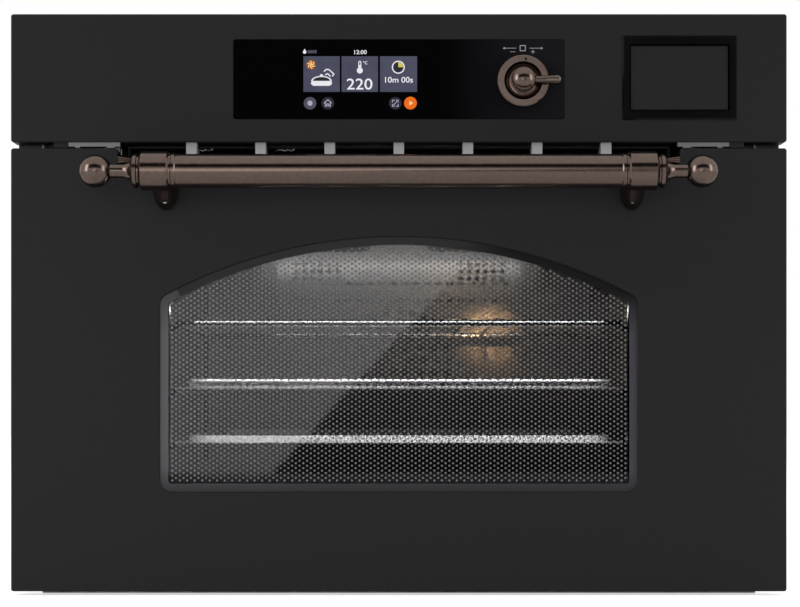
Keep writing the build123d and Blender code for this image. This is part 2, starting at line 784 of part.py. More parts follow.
# Handle ends: each is turned in one piece, a bead, a sleeve, a second bead, a flared neck and a ball.
bead_radius = 13.3
bead_end = 168.8
sleeve_radius = 14.4
sleeve_start = 170.2
sleeve_end = 192.2
outer_bead_radius = 12.9
outer_bead_start = 193.6
outer_bead_end = 196.8
neck_radius = 5.2
neck_start = 204.4
flare_radius = 11.0
ball_radius = 12.3
ball_x = 225.0
ball_neck_x = ball_x - (ball_radius**2 - neck_radius**2) ** 0.5
with BuildPart() as handle_ends:
    with BuildSketch(Plane(origin=(0, handle_y, handle_z), x_dir=(1, 0, 0), z_dir=(0, -1, 0))):
        with BuildLine():
            Polyline(
                (ball_x + ball_radius, 0),
                (bar_half_length, 0),
                (bar_half_length, bead_radius - 0.6),
                (bar_half_length + 0.8, bead_radius),
                (bead_end - 0.6, bead_radius),
                (bead_end, bead_radius - 0.8),
                (sleeve_start, bead_radius - 0.8),
                (sleeve_start, sleeve_radius - 1.2),
                (sleeve_start + 1.2, sleeve_radius),
                (sleeve_end - 1.6, sleeve_radius),
                (sleeve_end, sleeve_radius - 2.0),
                (sleeve_end + 0.4, sleeve_radius - 2.8),
                (outer_bead_start, sleeve_radius - 2.8),
                (outer_bead_start + 0.6, outer_bead_radius),
                (outer_bead_end, outer_bead_radius - 0.4),
            )
            RadiusArc((outer_bead_end, outer_bead_radius - 0.4), (neck_start, neck_radius), -flare_radius)
            Line((neck_start, neck_radius), (ball_neck_x, neck_radius))
            ThreePointArc((ball_neck_x, neck_radius), (ball_x, ball_radius), (ball_x + ball_radius, 0))
        make_face()
    revolve(axis=Axis((0, handle_y, handle_z), (1, 0, 0)))
    mirror(about=Plane.YZ)
keep(handle_ends, "handle_ends")

# Handle brackets: a cast foot on the door, a curved neck up to the sleeve, and a tapered lug in the recess.
foot_x = 178.4
arm_top_x = 179.6
foot_z = 309.0
lug_y = -14.2
lug_z = 334.6
lug_radius = 4.4
lug_length = 12.0
lug_taper = 13.0
screw_depth = 14.0
with BuildPart() as handle_brackets:
    for depth, middle_x, middle_z, half_wide, half_tall in (
        (front_y, foot_x, foot_z, 9.6, 14.0),
        (front_y - 6, foot_x, foot_z, 9.3, 13.2),
        (front_y - 18, foot_x + 0.4, foot_z + 3, 8.0, 9.0),
        (handle_y + 8, arm_top_x, handle_z, 8.6, 9.0),
    ):
        with BuildSketch(facing(depth)):
            with Locations((middle_x, middle_z)):
                Ellipse(half_wide, half_tall)
    loft()
    with BuildSketch(along_handle(bar_half_length)):
        Circle(sleeve_radius)
    extrude(amount=outer_bead_start - bar_half_length, mode=Mode.SUBTRACT)
    with BuildSketch(facing(front_y)):
        for z in handle_screw_z:
            with Locations((bracket_x, z)):
                Circle(handle_screw_radius)
    extrude(amount=screw_depth, mode=Mode.SUBTRACT)
    with BuildSketch(Plane.YZ.offset(recess_width / 2)):
        with Locations((lug_y, lug_z)):
            Circle(lug_radius)
    extrude(amount=-lug_length, taper=lug_taper)
    mirror(about=Plane.YZ)
keep(handle_brackets, "handle_brackets")

# Handle screws, two in each bracket, driven from inside the door.
with BuildPart() as handle_screws:
    with BuildSketch(facing(front_y + skin + screw_head_height)):
        for z in handle_screw_z:
            with Locations((-bracket_x, z), (bracket_x, z)):
                Circle(screw_head_radius)
    extrude(amount=screw_head_height)
    with BuildSketch(facing(front_y + skin)):
        for z in handle_screw_z:
            with Locations((-bracket_x, z), (bracket_x, z)):
                Circle(handle_screw_radius - 0.02)
    extrude(amount=skin + screw_depth - 2)
keep(handle_screws, "handle_screws")

# Control fascia: a painted steel tray with openings for the display glass and the tank's bezel.
glass_width = 253.4
glass_bottom = 365.4
glass_top = 426.1
glass_corner = 1.6
bezel_width = 87.6
bezel_bottom = 364.5
bezel_top = 429.2
bezel_hole_inset = 3.5
bezel_hole_less = 2 * bezel_hole_inset - 0.4
fascia_back_y = -2.0
tab_x = 259.5
tab_z = 343.5
with BuildPart() as control_fascia:
    with BuildSketch(facing(fascia_back_y)) as outline:
        with Locations((0, (fascia_bottom + front_top) / 2)):
            Rectangle(front_width, fascia_height)
        fillet(outline.vertices(), corner_radius)
    extrude(amount=fascia_back_y - front_y)
    with BuildSketch(facing(fascia_back_y)):
        with Locations((0, (fascia_bottom + front_top) / 2)):
            Rectangle(front_width - 2 * skin, fascia_height - 2 * skin)
    extrude(amount=fascia_back_y - front_y - skin, mode=Mode.SUBTRACT)
    chamfer(control_fascia.faces().sort_by(Axis.Y)[0].edges(), edge_bevel)
    with BuildSketch(facing(front_y + skin)):
        with Locations((0, (glass_bottom + glass_top) / 2)):
            RectangleRounded(glass_width + 0.6, glass_top - glass_bottom + 0.6, glass_corner + 0.3)
        with Locations((tank_x, (bezel_bottom + bezel_top) / 2)):
            Rectangle(bezel_width - bezel_hole_less, bezel_top - bezel_bottom - bezel_hole_less)
    extrude(amount=skin, mode=Mode.SUBTRACT)
    with BuildSketch(facing(front_y + 12)):
        with Locations((-tab_x, (tab_z + fascia_bottom + 1) / 2), (tab_x, (tab_z + fascia_bottom + 1) / 2)):
            Rectangle(11, fascia_bottom + 1 - tab_z)
    extrude(amount=10)
keep(control_fascia, "control_fascia")

# Display glass with the knob's hole, the screen behind it, and the control board with its encoder.
glass_thickness = 4.0
glass_front_y = front_y - 0.4
shaft_radius = 3.0
with BuildPart() as display_glass:
    with BuildSketch(facing(glass_front_y + glass_thickness)):
        with Locations((0, (glass_bottom + glass_top) / 2)):
            RectangleRounded(glass_width, glass_top - glass_bottom, glass_corner)
        with Locations((knob_x, knob_z)):
            Circle(shaft_radius + 1.5, mode=Mode.SUBTRACT)
    extrude(amount=glass_thickness)
keep(display_glass, "display_glass")

board_y = -9.0
module_x = -29.5
module_z = 396.0
module_width = 100.0
module_height = 56.0
module_depth = 8.0
with BuildPart() as display_module:
    with BuildSketch(facing(board_y - 1)):
        with Locations((module_x, module_z)):
            Rectangle(module_width, module_height)
    extrude(amount=module_depth)
keep(display_module, "display_module")

encoder_half = 7.0
encoder_depth = 7.0
chip_places = [(-90, 396), (-40, 405), (10, 385), (60, 400)]
chip_height = 6.0
with BuildPart() as control_board:
    with BuildSketch(facing(board_y + 1)):
        with Locations((0, (glass_bottom + glass_top) / 2)):
            Rectangle(glass_width - 8, glass_top - glass_bottom - 2)
    extrude(amount=2)
    with BuildSketch(facing(board_y - 1)):
        with Locations((knob_x, knob_z)):
            Rectangle(2 * encoder_half, 2 * encoder_half)
            Circle(shaft_radius + running_gap, mode=Mode.SUBTRACT)
    extrude(amount=encoder_depth)
    with BuildSketch(facing(board_y + 1 + chip_height)):
        with Locations(*chip_places):
            Rectangle(18, 14)
    extrude(amount=chip_height)
keep(control_board, "control_board")

# Encoder shaft: slides in the encoder's bore when the knob is pressed.
press_travel = 1.2
shaft_length = 20.0
with BuildPart() as encoder_shaft:
    with BuildSketch(facing(board_y - 1 - press_travel - 0.4)):
        with Locations((knob_x, knob_z)):
            Circle(shaft_radius)
    extrude(amount=shaft_length)
keep(encoder_shaft, "encoder_shaft")

# Knob: a flat ring with a hollow face, a tall dome in the middle, and a round lever that points right.
knob_back_y = glass_front_y - 1.7
knob_face_y = knob_back_y - 7.2
knob_radius = 19.6
hollow_radius = 14.6
hollow_y = knob_face_y + 4.4
dome_radius = 9.2
dome_y = knob_face_y - 13.5
cap_y = knob_face_y - 8.5
cap_radius = (dome_radius**2 + (cap_y - dome_y) ** 2) / (2 * (cap_y - dome_y))
lever_y = knob_face_y - 4.2
lever_length = 29.2
lever_radius = 2.7
lever_end_radius = 3.75
knob_bore_depth = 9.0
with BuildPart() as knob:
    with BuildSketch(Plane(origin=(knob_x, 0, knob_z), x_dir=(1, 0, 0), z_dir=(0, 0, 1))):
        with BuildLine():
            Polyline(
                (0, knob_back_y),
                (knob_radius - 0.6, knob_back_y),
                (knob_radius, knob_back_y - 0.6),
                (knob_radius, knob_face_y + 0.8),
                (knob_radius - 0.8, knob_face_y),
                (hollow_radius, knob_face_y),
            )
            ThreePointArc(
                (hollow_radius, knob_face_y), (hollow_radius - 1.4, hollow_y - 1.0), (dome_radius, hollow_y)
            )
            Line((dome_radius, hollow_y), (dome_radius, cap_y))
            RadiusArc((dome_radius, cap_y), (0, dome_y), cap_radius)
            Line((0, dome_y), (0, knob_back_y))
        make_face()
    revolve(axis=Axis((knob_x, 0, knob_z), (0, 1, 0)))
    with BuildSketch(Plane(origin=(knob_x, lever_y, knob_z), x_dir=(1, 0, 0), z_dir=(0, -1, 0))):
        with BuildLine():
            Polyline(
                (lever_length, 0),
                (4, 0),
                (4, lever_radius),
                (17, lever_radius + 0.2),
                (lever_length - lever_end_radius, lever_end_radius),
            )
            RadiusArc((lever_length - lever_end_radius, lever_end_radius), (lever_length, 0), lever_end_radius)
        make_face()
    revolve(axis=Axis((knob_x, lever_y, knob_z), (1, 0, 0)))
    with BuildSketch(facing(knob_back_y)):
        with Locations((knob_x, knob_z)):
            Circle(shaft_radius + running_gap)
    extrude(amount=knob_bore_depth, mode=Mode.SUBTRACT)
keep(knob, "knob")

# Tank bezel: a frame that lies on the fascia and reaches through it.
bezel_thickness = 1.6
bezel_back_y = -8.0
mouth_width = 76.5
mouth_height = 50.9
with BuildPart() as tank_bezel:
    with BuildSketch(facing(front_y)):
        with Locations((tank_x, (bezel_bottom + bezel_top) / 2)):
            Rectangle(bezel_width, bezel_top - bezel_bottom)
    extrude(amount=bezel_thickness)
    chamfer(tank_bezel.faces().sort_by(Axis.Y)[0].edges(), bezel_thickness - 0.4)
    with BuildSketch(facing(bezel_back_y)):
        with Locations((tank_x, (bezel_bottom + bezel_top) / 2)):
            Rectangle(bezel_width - 2 * bezel_hole_inset, bezel_top - bezel_bottom - 2 * bezel_hole_inset)
    extrude(amount=bezel_back_y - front_y)
    with BuildSketch(facing(bezel_back_y)):
        with Locations((tank_x, tank_z)):
            Rectangle(mouth_width, mouth_height)
    extrude(amount=20, mode=Mode.SUBTRACT)
keep(tank_bezel, "tank_bezel")

# Tank front: the plate that is pushed to release the tank.
tank_front_back_y = -16.0
mouth_gap = 0.6
with BuildPart() as tank_front:
    with BuildSketch(facing(tank_front_back_y)):
        with Locations((tank_x, tank_z)):
            Rectangle(mouth_width - 2 * mouth_gap, mouth_height - 2 * mouth_gap)
    extrude(amount=tank_front_back_y - front_y)
    chamfer(tank_front.faces().sort_by(Axis.Y)[0].edges(), 0.6)
keep(tank_front, "tank_front")

# Water tank: a deep open box behind the front plate, with its outlet at the back.
tank_width = 71.0
tank_low = 374.2
tank_high = 416.0
tank_back_y = 270.0
tank_wall = 1.6
tank_length = tank_back_y - tank_front_back_y
tank_middle_y = (tank_back_y + tank_front_back_y) / 2
port_z = 384.0
port_radius = 5.0
port_bore = 3.0
with BuildPart() as water_tank:
    with BuildSketch(Plane.XY.offset(tank_low)):
        with Locations((tank_x, tank_middle_y)):
            RectangleRounded(tank_width, tank_length, 5)
    extrude(amount=tank_high - tank_low)
    with BuildSketch(Plane.XY.offset(tank_low + tank_wall)):
        with Locations((tank_x, tank_middle_y)):
            RectangleRounded(tank_width - 2 * tank_wall, tank_length - 2 * tank_wall, 4)
    extrude(amount=tank_high - tank_low, mode=Mode.SUBTRACT)
    with BuildSketch(facing(tank_back_y + 6)):
        with Locations((tank_x, port_z)):
            Circle(port_radius)
            Circle(port_bore, mode=Mode.SUBTRACT)
    extrude(amount=6.4)
keep(water_tank, "water_tank")

# Tank lid with its filling hole.
lid_gap = 0.4
lid_thickness = 3.0
fill_hole_y = 30.0
fill_hole_radius = 14.0
with BuildPart() as tank_lid:
    with BuildSketch(Plane.XY.offset(tank_high)):
        with Locations((tank_x, tank_middle_y + lid_gap)):
            RectangleRounded(tank_width, tank_length - 2 * lid_gap, 5)
        with Locations((tank_x, fill_hole_y)):
            Circle(fill_hole_radius, mode=Mode.SUBTRACT)
    extrude(amount=lid_thickness)
keep(tank_lid, "tank_lid")

# Tank sleeve: a plastic tube that guides the tank, closed at the back round the outlet.
guide_width = 75.2
guide_height = 49.6
sleeve_wall = 1.2
sleeve_front_y = -7.6
sleeve_back_y = 300.0
sleeve_port_length = 10.0
with BuildPart() as tank_sleeve:
    with BuildSketch(facing(sleeve_back_y)):
        with Locations((tank_x, tank_z)):
            Rectangle(guide_width + 2 * sleeve_wall, guide_height + 2 * sleeve_wall)
    extrude(amount=sleeve_back_y - sleeve_front_y)
    with BuildSketch(facing(sleeve_back_y - 2)):
        with Locations((tank_x, tank_z)):
            Rectangle(guide_width, guide_height)
    extrude(amount=sleeve_back_y - sleeve_front_y, mode=Mode.SUBTRACT)
    with BuildSketch(facing(sleeve_back_y + sleeve_port_length)):
        with Locations((tank_x, port_z)):
            Circle(port_radius)
            Circle(port_bore, mode=Mode.SUBTRACT)
    extrude(amount=sleeve_port_length)
    with BuildSketch(facing(sleeve_back_y)):
        with Locations((tank_x, port_z)):
            Circle(port_bore)
    extrude(amount=2, mode=Mode.SUBTRACT)
keep(tank_sleeve, "tank_sleeve")

# Water pump behind the tank, with an inlet in front and an outlet at the back.
pump_y = 370.0
pump_bottom = 348.0
pump_height = 52.0
pump_width = 44.0
pump_length = 60.0
pump_inlet_y = 338.0
pump_outlet_y = 410.0
pump_outlet_z = 366.0
with BuildPart() as water_pump:
    with BuildSketch(Plane.XY.offset(pump_bottom)):
        with Locations((tank_x, pump_y)):
            RectangleRounded(pump_width, pump_length, 6)
    extrude(amount=pump_height)
    with BuildSketch(facing(pump_inlet_y + 10)):
        with Locations((tank_x, port_z)):
            Circle(port_radius)
    extrude(amount=10)
    with BuildSketch(facing(pump_outlet_y)):
        with Locations((tank_x, pump_outlet_z)):
            Circle(port_radius)
    extrude(amount=12)
keep(water_pump, "water_pump")

# Steam generator at the back, with its pipe into the cavity's rear wall.
generator_x = 170.0
generator_y = 480.0
generator_bottom = 190.0
generator_height = 125.0
generator_radius = 32.0
generator_port_top = 325.0
steam_pipe_end_y = 418.0
with BuildPart() as steam_generator:
    with BuildSketch(Plane.XY.offset(generator_bottom)):
        with Locations((generator_x, generator_y)):
            Circle(generator_radius)
    extrude(amount=generator_height)
    fillet(steam_generator.edges().filter_by(GeomType.CIRCLE), 6)
    with BuildSketch(facing(generator_y - 20)):
        with Locations((steam_port_x, steam_port_z)):
            Circle(steam_pipe_radius)
    extrude(amount=generator_y - 20 - steam_pipe_end_y)
    with BuildSketch(Plane.XY.offset(generator_port_top)):
        with Locations((generator_x, generator_y)):
            Circle(port_radius)
    extrude(amount=-15)
keep(steam_generator, "steam_generator")

# Water hoses: a short one from the sleeve's port to the pump, a long one from the pump to the generator.
hose_radius = 4.5
with BuildPart() as water_hoses:
    with BuildSketch(facing(pump_inlet_y)):
        with Locations((tank_x, port_z)):
            Circle(hose_radius)
    extrude(amount=pump_inlet_y - sleeve_back_y - sleeve_port_length)
    with BuildLine() as hose_path:
        FilletPolyline(
            (tank_x, pump_outlet_y, pump_outlet_z),
            (tank_x, pump_outlet_y + 36, pump_outlet_z),
            (generator_x, generator_y, pump_outlet_z),
            (generator_x, generator_y, generator_port_top),
            radius=18,
        )
    with BuildSketch(Plane(origin=hose_path.line @ 0, z_dir=hose_path.line % 0)):
        Circle(hose_radius)
    sweep()
keep(water_hoses, "water_hoses")


def duct_plan(inset):
    """Cooling duct seen from above: a round blower housing that widens into a flat duct at the front."""
    front = duct_half_width - inset
    throat = duct_throat - inset
    with Locations((fan_x, fan_y)):
        Circle(housing_radius - inset)
    with BuildLine() as border:
        Polyline(
            (-front, vent_back_y),
            (front, vent_back_y),
            (front, duct_shoulder_y),
            (throat, duct_throat_y),
            (-throat, duct_throat_y),
            (-front, duct_shoulder_y),
            (-front, vent_back_y),
        )
    make_face(border.edges())


# Cooling duct: the blower's housing and the flat duct that leads its air to the vent.
vent_back_y = 41.0
duct_half_width = 207.0
duct_shoulder_y = 70.0
duct_throat = 70.0
duct_throat_y = 330.0
duct_wall = 1.0
duct_bottom = 337.5
duct_top = 352.0
housing_radius = 76.0
housing_top = 376.0
intake_radius = 46.0
with BuildPart() as cooling_duct:
    with BuildSketch(Plane.XY.offset(duct_bottom)):
        duct_plan(0)
    extrude(amount=duct_top - duct_bottom)
    with BuildSketch(Plane.XY.offset(duct_bottom)):
        with Locations((fan_x, fan_y)):
            Circle(housing_radius)
    extrude(amount=housing_top - duct_bottom)
    with BuildSketch(Plane.XY.offset(duct_bottom + duct_wall)):
        duct_plan(duct_wall)
    extrude(amount=duct_top - duct_bottom - 2 * duct_wall, mode=Mode.SUBTRACT)
    with BuildSketch(Plane.XY.offset(duct_bottom + duct_wall)):
        with Locations((fan_x, fan_y)):
            Circle(housing_radius - duct_wall)
    extrude(amount=housing_top - duct_bottom - 2 * duct_wall, mode=Mode.SUBTRACT)
    with BuildSketch(Plane.XY.offset(housing_top)):
        with Locations((fan_x, fan_y)):
            Circle(intake_radius)
    extrude(amount=-2 * duct_wall, mode=Mode.SUBTRACT)
    with BuildSketch(facing(vent_back_y + 9)):
        with Locations((0, (duct_bottom + duct_top) / 2)):
            Rectangle(2 * (duct_half_width - duct_wall), duct_top - duct_bottom - 2 * duct_wall)
    extrude(amount=20, mode=Mode.SUBTRACT)
keep(cooling_duct, "cooling_duct")

# Cooling motor: held over the housing's intake by three arms.
motor_bottom = housing_top + 2
cooling_motor_radius = 28.0
cooling_motor_height = 32.0
with BuildPart() as cooling_motor:
    with BuildSketch(Plane.XY.offset(housing_top)):
        with Locations((fan_x, fan_y)):
            with PolarLocations(35, 3, start_angle=90):
                Rectangle(60, 8)
            Circle(10, mode=Mode.SUBTRACT)
    extrude(amount=2)
    with BuildSketch(Plane.XY.offset(motor_bottom)):
        with Locations((fan_x, fan_y)):
            Circle(cooling_motor_radius)
    extrude(amount=cooling_motor_height)
    with BuildSketch(Plane.XY.offset(housing_top)):
        with Locations((fan_x, fan_y)):
            Circle(fan_shaft_radius + running_gap)
    extrude(amount=27, mode=Mode.SUBTRACT)
keep(cooling_motor, "cooling_motor")

# Cooling impeller: a disc with blades round its rim, on a shaft up into the motor.
impeller_radius = 60.0
blade_circle = 52.0
blade_height = 25.0
with BuildPart() as cooling_impeller:
    with BuildSketch(Plane.XY.offset(duct_bottom + 4)):
        with Locations((fan_x, fan_y)):
            Circle(impeller_radius)
    extrude(amount=1.5)
    with BuildSketch(Plane.XY.offset(duct_bottom + 5)):
        with Locations((fan_x, fan_y)):
            with PolarLocations(blade_circle, 24):
                Rectangle(14, sheet)
            Circle(10)
    extrude(amount=blade_height)
    with BuildSketch(Plane.XY.offset(duct_bottom + 5)):
        with Locations((fan_x, fan_y)):
            Circle(fan_shaft_radius)
    extrude(amount=60)
keep(cooling_impeller, "cooling_impeller")

# Power board at the left above the duct, with its relays and a transformer.
power_board_x = -175.0
power_board_y = 130.0
power_board_z = 362.0
relay_places = [(-200, 90), (-170, 90), (-140, 90)]
relay_height = 20.0
pillar_places = [(-130, 75), (-130, 190)]
with BuildPart() as power_board:
    with BuildSketch(Plane.XY.offset(power_board_z)):
        with Locations((power_board_x, power_board_y)):
            Rectangle(120, 150)
    extrude(amount=2)
    with BuildSketch(Plane.XY.offset(power_board_z + 2)):
        with Locations(*relay_places):
            Rectangle(20, 16)
        with Locations((power_board_x - 15, power_board_y + 30)):
            Rectangle(50, 42)
    extrude(amount=relay_height)
    with BuildSketch(Plane.XY.offset(duct_top)):
        with Locations(*pillar_places):
            Circle(3)
    extrude(amount=power_board_z - duct_top)
keep(power_board, "power_board")

# Terminal block at the rear left, with the cable gland through the rear cover.
gland_bore = 5.0
gland_end_y = body_depth + 16
gland_length = 36.0
terminal_depth = 40.0
with BuildPart() as terminal_block:
    with BuildSketch(facing(body_depth)):
        with Locations((gland_x, gland_z)):
            RectangleRounded(64, 46, 4)
    extrude(amount=terminal_depth)
    with BuildSketch(facing(gland_end_y)):
        with Locations((gland_x, gland_z)):
            Circle(gland_radius)
    extrude(amount=gland_end_y - body_depth)
    with BuildSketch(facing(gland_end_y)):
        with Locations((gland_x, gland_z)):
            Circle(gland_bore)
    extrude(amount=gland_length, mode=Mode.SUBTRACT)
keep(terminal_block, "terminal_block")

# Vent channel between the fascia and the door's lowered edge, open to the front and to the duct.
# It is put together from strips: a floor, a roof, two cheeks and a sill up to the duct's floor.
vent_half_width = 208.0
vent_bottom = 329.0
vent_top = 346.0
vent_front_y = -7.0
vent_wall = 1.5
vent_seam = 0.02
vent_middle_z = (vent_bottom + vent_top) / 2
sill_bottom = vent_bottom + vent_wall + vent_seam
strip_width = 2 * (vent_half_width - vent_seam)
cheek_x = vent_half_width + vent_wall / 2
with BuildPart() as vent_channel:
    with BuildSketch(facing(vent_back_y)):
        with Locations((0, vent_bottom + vent_wall / 2), (0, vent_top - vent_wall / 2)):
            Rectangle(strip_width, vent_wall)
        with Locations((-cheek_x, vent_middle_z), (cheek_x, vent_middle_z)):
            Rectangle(vent_wall, vent_top - vent_bottom)
    extrude(amount=vent_back_y - vent_front_y)
    with BuildSketch(facing(vent_back_y)):
        with Locations((0, (sill_bottom + duct_bottom) / 2)):
            Rectangle(strip_width, duct_bottom - sill_bottom)
    extrude(amount=vent_wall)
keep(vent_channel, "vent_channel")

# Vent ribs: seven upright bars in the channel's mouth that reach forward under the fascia.
rib_width = 8.0
rib_pitch = 53.1
rib_count = 7
rib_front_y = -19.4
rib_back_y = 4.0
rib_bottom = vent_bottom + vent_wall
with BuildPart() as vent_ribs:
    with BuildSketch(facing(rib_back_y)):
        with Locations((0, vent_middle_z)):
            with GridLocations(rib_pitch, 0, rib_count, 1):
                Rectangle(rib_width, vent_top - vent_bottom - 2 * vent_wall)
    extrude(amount=rib_back_y - vent_front_y)
    with BuildSketch(facing(vent_front_y)):
        with Locations((0, (rib_bottom + fascia_bottom) / 2)):
            with GridLocations(rib_pitch, 0, rib_count, 1):
                Rectangle(rib_width, fascia_bottom - rib_bottom)
    extrude(amount=vent_front_y - rib_front_y)
keep(vent_ribs, "vent_ribs")

# Vent clips: bright plates under the fascia on either side of the vent, each with two small feet.
clip_inner_x = 214.0
clip_outer_x = 253.6
clip_bottom = 344.4
clip_back_y = -12.0
clip_front_y = -20.0
foot_bottom = 343.4
with BuildPart() as vent_clips:
    with BuildSketch(facing(clip_back_y)):
        with Locations(((clip_inner_x + clip_outer_x) / 2, (clip_bottom + fascia_bottom) / 2)):
            Rectangle(clip_outer_x - clip_inner_x, fascia_bottom - clip_bottom)
        with Locations((221.2, (foot_bottom + clip_bottom) / 2)):
            Rectangle(6.4, clip_bottom - foot_bottom)
        with Locations((246.6, (foot_bottom + clip_bottom) / 2)):
            Rectangle(3.9, clip_bottom - foot_bottom)
    extrude(amount=clip_back_y - clip_front_y)
    mirror(about=Plane.YZ)
keep(vent_clips, "vent_clips")
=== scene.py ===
import math

import bpy
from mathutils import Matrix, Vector


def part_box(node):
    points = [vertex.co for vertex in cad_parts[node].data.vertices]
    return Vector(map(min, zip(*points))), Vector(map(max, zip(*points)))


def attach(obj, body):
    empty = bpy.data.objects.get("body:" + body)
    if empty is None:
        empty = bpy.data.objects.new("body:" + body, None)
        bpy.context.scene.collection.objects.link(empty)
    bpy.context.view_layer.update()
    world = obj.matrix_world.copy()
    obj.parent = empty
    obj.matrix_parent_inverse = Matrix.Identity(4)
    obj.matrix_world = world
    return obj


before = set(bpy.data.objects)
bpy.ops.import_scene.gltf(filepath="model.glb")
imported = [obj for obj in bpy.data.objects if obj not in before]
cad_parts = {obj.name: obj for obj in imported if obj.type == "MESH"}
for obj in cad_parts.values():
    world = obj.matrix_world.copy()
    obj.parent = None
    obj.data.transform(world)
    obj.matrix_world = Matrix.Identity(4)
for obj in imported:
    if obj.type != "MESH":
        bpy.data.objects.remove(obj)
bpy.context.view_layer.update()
bpy.ops.object.select_all(action="DESELECT")

# The camera stands 1.6 m in front of the door, a little above the floor, and looks level.
# Its rise centres the oven without tilting the view, so the front stays square as in a catalogue shot.
door_face_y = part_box("door_panel")[0].y
camera_distance = 1.6
camera_height = 0.15
view_width = 0.6134
view_middle_x, view_middle_z = 0.0009, 0.2238
sensor_width = 36.0
camera_data = bpy.data.cameras.new("catalogue_camera")
camera_data.sensor_width = sensor_width
camera_data.lens = sensor_width * camera_distance / view_width
camera_data.shift_y = (view_middle_z - camera_height) / view_width
camera_data.clip_end = 60.0
camera = bpy.data.objects.new("catalogue_camera", camera_data)
camera.location = (view_middle_x, door_face_y - camera_distance, camera_height)
camera.rotation_euler = (math.pi / 2, 0, 0)
bpy.context.scene.collection.objects.link(camera)
bpy.context.scene.camera = camera
bpy.context.scene.view_settings.view_transform = "Standard"

# The floor is a sheet of pale studio paper, matt and slightly mottled, big enough for every view.
# It carries the oven's soft contact shadow and glows a little for the camera, so that it ends in white.
floor_size = 14.0
floor_drop = 0.0002
bpy.ops.mesh.primitive_plane_add(size=floor_size, location=(0, 0.25, -floor_drop))
floor = bpy.context.object
floor.name = "studio_floor"


def linear(code, alpha=1.0):
    """A colour written as an sRGB hex code, as the linear values that a shader takes."""
    channels = [int(code[i : i + 2], 16) / 255 for i in (1, 3, 5)]
    return [c / 12.92 if c <= 0.04045 else ((c + 0.055) / 1.055) ** 2.4 for c in channels] + [alpha]


def add_node(tree, kind, values=(), links=(), **properties):
    """Adds one node with its properties, its socket values and the links into it."""
    node = tree.nodes.new(kind)
    for name, value in properties.items():
        setattr(node, name, value)
    for socket, value in dict(values).items():
        node.inputs[socket].default_value = value
    for socket, source in dict(links).items():
        tree.links.new(source, node.inputs[socket])
    return node


def new_finish(name, values):
    """A material with its node tree and its shader, whose uniform values are set on the shader itself."""
    material = bpy.data.materials.new(name)
    material.use_nodes = True
    tree = material.node_tree
    shader = tree.nodes["Principled BSDF"]
    for socket, value in values.items():
        shader.inputs[socket].default_value = value
    return material, tree, shader


paper, tree, shader = new_finish(
    "studio_paper", {"Roughness": 0.85, "Specular IOR Level": 0.1, "Emission Color": linear("#ffffff")}
)
where = add_node(tree, "ShaderNodeTexCoord")
mottle = add_node(
    tree, "ShaderNodeTexNoise", {"Scale": 90.0, "Detail": 3.0}, {"Vector": where.outputs["Object"]}
)
tone = add_node(tree, "ShaderNodeValToRGB", {}, {"Fac": mottle.outputs["Fac"]})
tone.color_ramp.elements[0].color = linear("#f2f2f2")
tone.color_ramp.elements[1].color = linear("#f6f6f6")
tree.links.new(tone.outputs["Color"], shader.inputs["Base Color"])
ray = add_node(tree, "ShaderNodeLightPath")
paper_glow = add_node(
    tree, "ShaderNodeMapRange", {"To Min": 0.0, "To Max": 0.6}, {"Value": ray.outputs["Is Camera Ray"]}
)
tree.links.new(paper_glow.outputs["Result"], shader.inputs["Emission Strength"])
floor.data.materials.append(paper)

# The world is plain white where the camera, metal or glass sees it, as the walls of a light tent are.
# For all other light it is a dim even fill, so that the lamps shape the oven.
fill_strength = 0.5
world = bpy.data.worlds.new("white_studio")
bpy.context.scene.world = world
world.use_nodes = True
tree = world.node_tree
ray = add_node(tree, "ShaderNodeLightPath")
seen = add_node(
    tree, "ShaderNodeMath", {}, {0: ray.outputs["Is Camera Ray"], 1: ray.outputs["Is Glossy Ray"]},
    operation="MAXIMUM",
)
shown = add_node(
    tree, "ShaderNodeMath", {}, {0: seen.outputs[0], 1: ray.outputs["Is Transmission Ray"]},
    operation="MAXIMUM",
)
strength = add_node(
    tree, "ShaderNodeMapRange", {"To Min": fill_strength, "To Max": 1.0}, {"Value": shown.outputs[0]}
)
backdrop = tree.nodes["Background"]
backdrop.inputs["Color"].default_value = linear("#ffffff")
tree.links.new(strength.outputs["Result"], backdrop.inputs["Strength"])

# Soft boxes: a broad one high over the front, a tall one at each side and one from behind for the rear
# views. Slim strips inside the oven, one before the baffle and one before each rack and tray, brighten
# their fronts.
# Each row gives a lamp's place, what it is aimed at, its width and height, and its power in watts.
lamps = [
    ("front_top_box", (0.0, -0.8, 2.5), (0.0, -0.05, 0.2), (3.2, 1.5), 23.0),
    ("left_box", (-2.3, -1.3, 1.0), (0.0, 0.0, 0.2), (0.8, 1.7), 19.0),
    ("right_box", (2.3, -1.3, 1.0), (0.0, 0.0, 0.2), (0.8, 1.7), 12.0),
    ("back_box", (0.6, 2.6, 1.9), (0.0, 0.3, 0.2), (2.0, 1.2), 24.0),
    ("baffle_strip", (0.0, 0.366, 0.284), (0.0, 0.41, 0.242), (0.25, 0.004), 0.06),
]
strip_size = (0.33, 0.003)
edge_below_top = 0.003
for rack, ahead, above, power in (
    ("wire_rack", 0.016, 0.008, 0.07),
    ("baking_tray", 0.005, 0.012, 0.25),
    ("steam_tray", 0.016, 0.008, 0.13),
):
    low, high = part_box(rack)
    front_edge = (0.0, low.y, high.z - edge_below_top)
    lamps.append((rack + "_strip", (0.0, low.y - ahead, high.z + above), front_edge, strip_size, power))
unmirrored = ("front_top_box", "baking_tray_strip", "steam_tray_strip")


